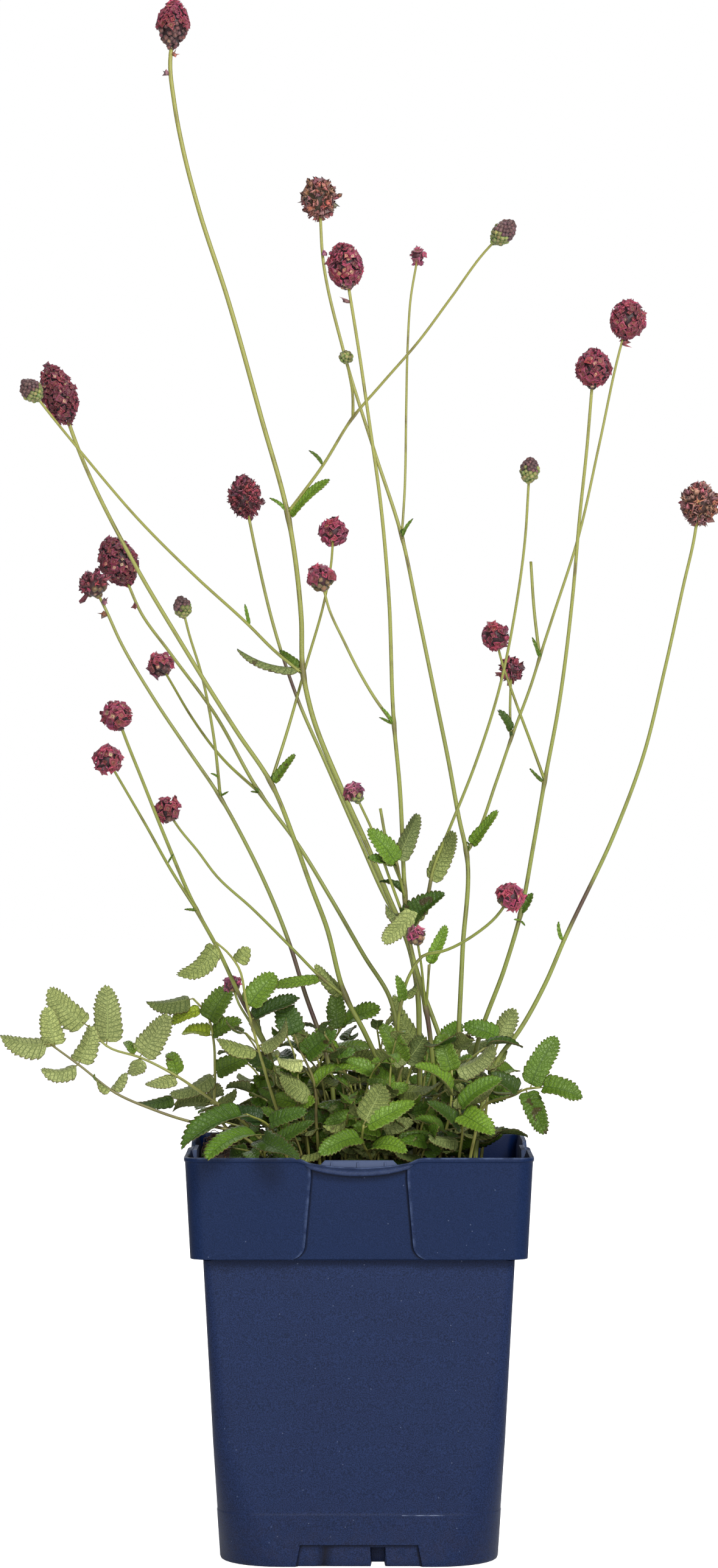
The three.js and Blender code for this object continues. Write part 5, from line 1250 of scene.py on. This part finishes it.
# A flower is rings of LOBE_POINTS points, each [height, radius at its four lobes, radius between them,
# part], from its foot up. The part picks its colour: 0 for the base, 1 for the lobes' edge, 2 inside
# them, 3 on the disc and 4 for its middle. Its reach is how far its foot stands inside the head's
# outline, as a share of its size.
LOBE_POINTS = 8
CUP = {"foot": -0.2, "top": 0.58, "reach": 0.72,
       "rings": [[0, 0.28, 0.28, 0], [0.35, 0.62, 0.46, 0.4], [0.8, 1.05, 0.62, 1], [0.62, 0.68, 0.46, 2],
                 [0.4, 0.4, 0.34, 2.5], [0.5, 0.24, 0.24, 3]]}
KNOB = {"foot": -0.2, "top": 1.14, "reach": 0.72,
        "rings": [[0, 0.5, 0.5, 0], [0.4, 0.92, 0.82, 0.6], [0.78, 0.78, 0.6, 1.6], [1.02, 0.32, 0.2, 3]]}
HUSK = {"foot": -0.2, "top": 0.42, "reach": 0.95,
        "rings": [[0, 0.32, 0.32, 0], [0.5, 0.62, 0.4, 0.4], [1.35, 1.05, 0.22, 1], [0.6, 0.5, 0.26, 2],
                  [0.4, 0.2, 0.2, 3]]}
# Each flower: its kind, its size in mm, how uneven its lobes are, and its five colours.
FLOWERS = {
    "crimson": [CUP, 1.4, 0.17, "#40141e", "#b44662", "#802c40", "#8e4c42", "#3e1e1d"],
    "red": [CUP, 1.4, 0.16, "#541a29", "#c24f6e", "#93354b", "#8a4044", "#4c2025"],
    "maroon": [CUP, 1.3, 0.17, "#3a141b", "#92374e", "#6a2735", "#844a40", "#38181a"],
    "rosy": [CUP, 1.4, 0.18, "#6e3040", "#c86686", "#9c4860", "#a87868", "#5c2c34"],
    "spiky": [HUSK, 1.25, 0.22, "#542028", "#a8485c", "#84363f", "#9a6a4c", "#4a2420"],
    "spent": [HUSK, 1.4, 0.26, "#5c3a2e", "#c8847c", "#a87860", "#f0d6a6", "#6c4c38"],
    "spent_green": [HUSK, 1.35, 0.26, "#5c4a30", "#b8706c", "#b08c64", "#d0c888", "#74683c"],
    "dark_knob": [KNOB, 1.05, 0.07, "#2c1615", "#543233", "#66403f", "#7a4c4a", "#8a6050"],
    "bud": [KNOB, 0.95, 0.04, "#33201f", "#54383a", "#664648", "#74504e", "#74504e"],
    "green_knob": [KNOB, 0.95, 0.05, "#4c6028", "#6c8238", "#84904a", "#98905a", "#98905a"],
    "olive_knob": [KNOB, 0.95, 0.06, "#4f5c30", "#6b6038", "#7c5a44", "#8a6a4a", "#8a6a4a"],
}
CREAM = "#d9b38c"
# Every head as it looks, in the order in which they grow: its upper and lower flowers, the share of
# its length where one gives way to the other, and the share of its discs that are cream.
HEAD_LOOKS = [
    ["crimson", "dark_knob", 0.42, 0.16], ["bud", "green_knob", 0.5, 0], ["green_knob", "green_knob", 0, 0],
    ["bud", "green_knob", 0.5, 0], ["spiky", "spiky", 0, 0.35], ["spent_green", "spent", 0.35, 0.3],
    ["rosy", "rosy", 0, 0], ["crimson", "dark_knob", 0.06, 0.14], ["spiky", "spiky", 0, 0.1],
    ["crimson", "dark_knob", 0.08, 0.3], ["red", "olive_knob", 0.45, 0.1], ["bud", "green_knob", 0.6, 0],
    ["rosy", "green_knob", 0.5, 0.05], ["rosy", "olive_knob", 0.55, 0.05], ["maroon", "maroon", 0, 0.4],
    ["red", "red", 0, 0.2], ["crimson", "dark_knob", 0.25, 0.12], ["maroon", "maroon", 0, 0.2],
    ["crimson", "dark_knob", 0.3, 0.12], ["spiky", "olive_knob", 0.35, 0.1], ["bud", "green_knob", 0.5, 0],
    ["crimson", "dark_knob", 0.05, 0.2], ["crimson", "dark_knob", 0.2, 0.12],
    ["rosy", "olive_knob", 0.4, 0.05], ["spent", "spent", 0, 0.2], ["crimson", "dark_knob", 0.06, 0.14],
    ["crimson", "dark_knob", 0.06, 0.14], ["red", "olive_knob", 0.3, 0.1],
]
# Single flowers on the stems below the heads, as seen: across, up, and which flower.
LOOSE = [[-60.3, 489.5, "spent"], [-63, 484, "spent"], [-12, 424, "rosy"], [-5, 408.5, "spent"],
         [87, 394.5, "spent"], [-73, 308.5, "rosy"], [-84.5, 310, "spent"], [-83, 305, "spent"]]
CORE_SHARE = 0.84
CORE_RINGS = 9
CORE_SIDES = 14
# How much room a flower takes on the egg, in squares of its size, how far it faces up, and how far
# it strays from the spiral for each share that it is ragged.
CROWDING = 1.8
UPWARD = 0.12
LOOSENESS = 1.2
EGG_SAMPLES = 400
# Heads narrower than this, in mm, have open flowers that are larger by this much.
SMALL_HEAD = [10, 1.22]


def egg_radius(share, width):
    """The head's radius at a share of its length: a flattened half sine."""
    return width / 2 * np.sin(np.pi * np.clip(share, 1e-4, 1 - 1e-4)) ** 0.55


def egg_core(middle, axis, side, other, width, length):
    """The smooth dark body of the head that the flowers stand out of: rings of the egg's radius, all
    of it drawn in by CORE_SHARE."""
    share = (np.arange(CORE_RINGS) + 0.6)[:, None] / (CORE_RINGS + 0.2)
    angle = np.arange(CORE_SIDES) / CORE_SIDES * 2 * np.pi
    radius = CORE_SHARE * egg_radius(share, width)
    spine = middle + axis * (share * CORE_SHARE - CORE_SHARE / 2)[..., None] * length
    rings = spine + (radius * np.cos(angle))[..., None] * side + (radius * np.sin(angle))[..., None] * other
    poles = middle + np.outer([-0.5, 0.5], axis) * CORE_SHARE * length
    return np.concatenate([rings.reshape(-1, 3), poles]), loft_faces(CORE_RINGS, CORE_SIDES)


def flowers(look, spots, ways, cream_share, rng, larger=1):
    """Copies one flower to each spot, facing its way: every copy is turned about its way and sized,
    more or less open, and each of its lobes is longer or shorter by a seeded amount. Its tint is the
    colour of each point's part."""
    kind, size, ragged, *colours = FLOWERS[look]
    rings = np.array(kind["rings"])
    part = rings[:, 3]
    count = len(spots)
    angle = np.arange(LOBE_POINTS) / LOBE_POINTS * 2 * np.pi
    outer = np.interp(part, [0, 0.4, 1, 2, 3], [0, 0.5, 1, 0.4, 0])[None, :, None]
    opened = rng.uniform(1 - 2 * ragged, 1 + ragged, (count, 1, 1))
    lobes = np.exp(rng.normal(0, ragged, (count, 1, LOBE_POINTS)))
    radius = np.where(np.arange(LOBE_POINTS) % 2 == 0, rings[:, 1:2], rings[:, 2:3])[None]
    radius = radius * (1 + (lobes * opened - 1) * outer)
    uneven = rng.normal(0, ragged, (count, 1, LOBE_POINTS)) * outer
    height = rings[None, :, :1] * (1 + (0.5 / opened - 0.5) * outer + uneven)
    shape = np.stack([radius * np.cos(angle), radius * np.sin(angle), height], -1).reshape(count, -1, 3)
    poles = np.tile([[0, 0, kind["foot"]], [0, 0, kind["top"]]], (count, 1, 1))
    shape = np.concatenate([shape, poles], 1) * size * larger * rng.uniform(0.8, 1.2, (count, 1, 1))
    part = np.concatenate([np.repeat(part, LOBE_POINTS), [0, 4]])
    spin = rng.uniform(0, 2 * np.pi, count)
    across = unit(np.cross(ways, rng.normal(size=(count, 3))))
    over = np.cross(ways, across)
    side = across * np.cos(spin)[:, None] + over * np.sin(spin)[:, None]
    frames = np.stack([side, np.cross(ways, side), ways], -1)
    points = spots[:, None] + np.einsum("nij,nkj->nki", frames, shape)
    faces = copied_faces(loft_faces(len(rings), LOBE_POINTS), count, shape.shape[1])
    palette = np.tile([linear(colour)[:3] for colour in colours], (count, 1, 1))
    palette[rng.random(count) < cream_share, 3] = linear(CREAM)[:3]
    below = np.clip(part.astype(int), 0, 3)
    between = (part - below)[None, :, None]
    tint = palette[:, below] * (1 - between) + palette[:, below + 1] * between
    brightness = rng.uniform(0.65, 1.3, (count, 1, 1))
    hue = rng.normal(1, 0.04 + 0.5 * ragged, (count, 1, 3)).clip(0.6, 1.5)
    tint = tint * brightness * hue
    return points.reshape(-1, 3), faces, [0, 0, 0], tint.reshape(-1, 3), 0


def flower_head(middle, axis, width, length, look, seed):
    """The core, and flowers on it in a golden spiral, spaced evenly over the egg's surface. Each
    faces square out of the egg and a little up. Buds keep the spiral, and open flowers crowd each
    other out of it."""
    rng = np.random.default_rng(seed)
    side = unit(np.array([0, 1, 0]) - axis * axis[1])
    other = np.cross(axis, side)
    upper, lower, limit, cream_share = look
    share = np.linspace(0, 1, EGG_SAMPLES)
    radius = egg_radius(share, width)
    area = np.cumsum(radius * np.hypot(np.gradient(radius), length / EGG_SAMPLES))
    kind, size, ragged = FLOWERS[upper][:3]
    larger = SMALL_HEAD[1] if width < SMALL_HEAD[0] and kind is not KNOB else 1
    size = size * larger
    count = int(2 * np.pi * area[-1] / (CROWDING * size * size))
    spot_share = np.interp((np.arange(count) + 0.5) / count * area[-1], area, share)
    reach = kind["reach"]
    spot_radius = np.maximum(egg_radius(spot_share, width) - reach * size, 0.3)
    slope = np.interp(spot_share, share, np.gradient(radius, length / EGG_SAMPLES))
    angle = np.arange(count) * GOLDEN_TURN
    out = np.cos(angle)[:, None] * side + np.sin(angle)[:, None] * other
    spine = middle + axis * ((spot_share - 0.5) * (length - 1.5 * reach * size))[:, None]
    loose = ragged * LOOSENESS
    spots = spine + out * spot_radius[:, None] + rng.normal(0, loose, (count, 3))
    steep = np.clip(slope, -2.5, 2.5)[:, None]
    ways = unit(unit(out - axis * steep + axis * UPWARD) + rng.normal(0, loose, (count, 3)))
    core_points, core_faces = egg_core(middle, axis, side, other, width, length)
    # The core is half as bright as the flowers' base colour: the head's own body, darkened as painted shade
    # in the gaps between the flowers.
    patches = [(core_points, core_faces, [0, 0, 0], np.array(linear(FLOWERS[upper][3])[:3]) * 0.5, 0)]
    above = spot_share > limit + rng.normal(0, 0.06, count)
    for chosen, name in ((above, upper), (~above, lower)):
        if chosen.any():
            patches.append(flowers(name, spots[chosen], ways[chosen], cream_share, rng, larger))
    return patches


# Living sepals, thin and waxy: a satin skin with a soft sheen. The colour of each flower comes with
# the mesh, and is darkened by fine mottles of less than a millimetre.
sepal = new_material("crimson_burnet_sepals")
place = add(sepal, "ShaderNodeTexCoord", {}, 3)
tint = add(sepal, "ShaderNodeAttribute", {}, 0, attribute_name="tint")
fine = add(sepal, "ShaderNodeTexNoise", {"Vector": place, "Scale": 1600.0, "Detail": 3.0})
shade = add(sepal, "ShaderNodeMix", {0: fine, 6: linear("#8c8084"), 7: linear("#ffffff")}, 2,
            data_type="RGBA")
petal_colour = add(sepal, "ShaderNodeMix", {0: 0.8, 6: tint, 7: shade}, 2, data_type="RGBA",
                   blend_type="MULTIPLY")
bump = add(sepal, "ShaderNodeBump", {"Strength": 0.4, "Distance": 0.0002, "Height": fine})
shader = add(sepal, "ShaderNodeBsdfPrincipled", {"Base Color": petal_colour, "Roughness": 0.5, "IOR": 1.42,
                                                 "Sheen Weight": 0.15, "Normal": bump})
add(sepal, "ShaderNodeOutputMaterial", {"Surface": shader})

head_patches = [flower_head(*head[:4], look, 301 + number)
                for number, (head, look) in enumerate(zip(heads, HEAD_LOOKS))]
for number, (across, up, look) in enumerate(LOOSE):
    foot = nearest_as_seen(across, up)[1]
    nearest = int(np.argmin([np.linalg.norm(head[0] - foot) for head in heads]))
    way = unit(np.array([[-1 if number % 2 else 1, -0.8, 0.3]]))
    head_patches[nearest].append(flowers(look, foot[None], way, 0, np.random.default_rng(number)))
for number, (patches, head) in enumerate(zip(head_patches, heads), 1):
    smooth_piece(f"flower_head_{number:02d}", patches, [sepal], [f"head_{number:02d}"])

# The studio has a white paper floor, as wide as a room. It is full white where the camera looks at
# it, so that it melts into the surround, and glows at a fifth of that as a source of light.
FLOOR_HALF = 6
PAPER_GLOW = [0.2, 1.0]
floor_mesh = bpy.data.meshes.new("floor")
floor_corners = [(x * FLOOR_HALF, y * FLOOR_HALF, 0) for x, y in ((-1, -1), (1, -1), (1, 1), (-1, 1))]
floor_mesh.from_pydata(floor_corners, [], [(0, 1, 2, 3)])
floor = bpy.data.objects.new("floor", floor_mesh)
bpy.context.scene.collection.objects.link(floor)
paper = new_material("lit_white_studio_paper")
seen_by_eye = add(paper, "ShaderNodeLightPath", {}, 0)
glow = add(paper, "ShaderNodeMapRange", {0: seen_by_eye, 3: PAPER_GLOW[0], 4: PAPER_GLOW[1]})
shader = add(paper, "ShaderNodeBsdfPrincipled", {"Base Color": linear("#ececec"), "Roughness": 0.9,
                                                 "Emission Color": linear("#ffffff"),
                                                 "Emission Strength": glow})
add(paper, "ShaderNodeOutputMaterial", {"Surface": shader})
floor_mesh.materials.append(paper)

# The surround is full white to the camera too, and about a sixth as bright as a source of light. The
# standard view shows both as plain white, and the plant's colours as they are lit.
SURROUND = [0.17, 1.0]
world = bpy.data.worlds.new("studio")
world.use_nodes = True
world.node_tree.nodes.clear()
seen_by_eye = add(world, "ShaderNodeLightPath", {}, 0)
strength = add(world, "ShaderNodeMapRange", {0: seen_by_eye, 3: SURROUND[0], 4: SURROUND[1]})
surround = add(world, "ShaderNodeBackground", {0: (1, 1, 1, 1), 1: strength})
add(world, "ShaderNodeOutputWorld", {0: surround})
bpy.context.scene.world = world
bpy.context.scene.view_settings.view_transform = "Standard"

# Three large soft lights look at the middle of the plant: the key at the front right, one low at the
# front, and one behind. Each has its place and size in metres and its power in watts.
LIGHTS = [["key", [0.7, -1.5, 1.3], 0.6, 37], ["front", [-0.05, -1.8, 0.4], 0.9, 15],
          ["rear", [-0.4, 1.3, 1.2], 1.0, 12]]
LIGHTS_AIM = np.array([0, 0, 0.2])
for name, place, size, power in LIGHTS:
    light = bpy.data.objects.new(name, bpy.data.lights.new(name, "AREA"))
    light.data.size = size
    light.data.energy = power
    light.location = place
    aim = LIGHTS_AIM - place
    heading = math.atan2(aim[1], aim[0]) - math.pi / 2
    light.rotation_euler = (math.atan2(math.hypot(aim[0], aim[1]), -aim[2]), 0, heading)
    bpy.context.scene.collection.objects.link(light)
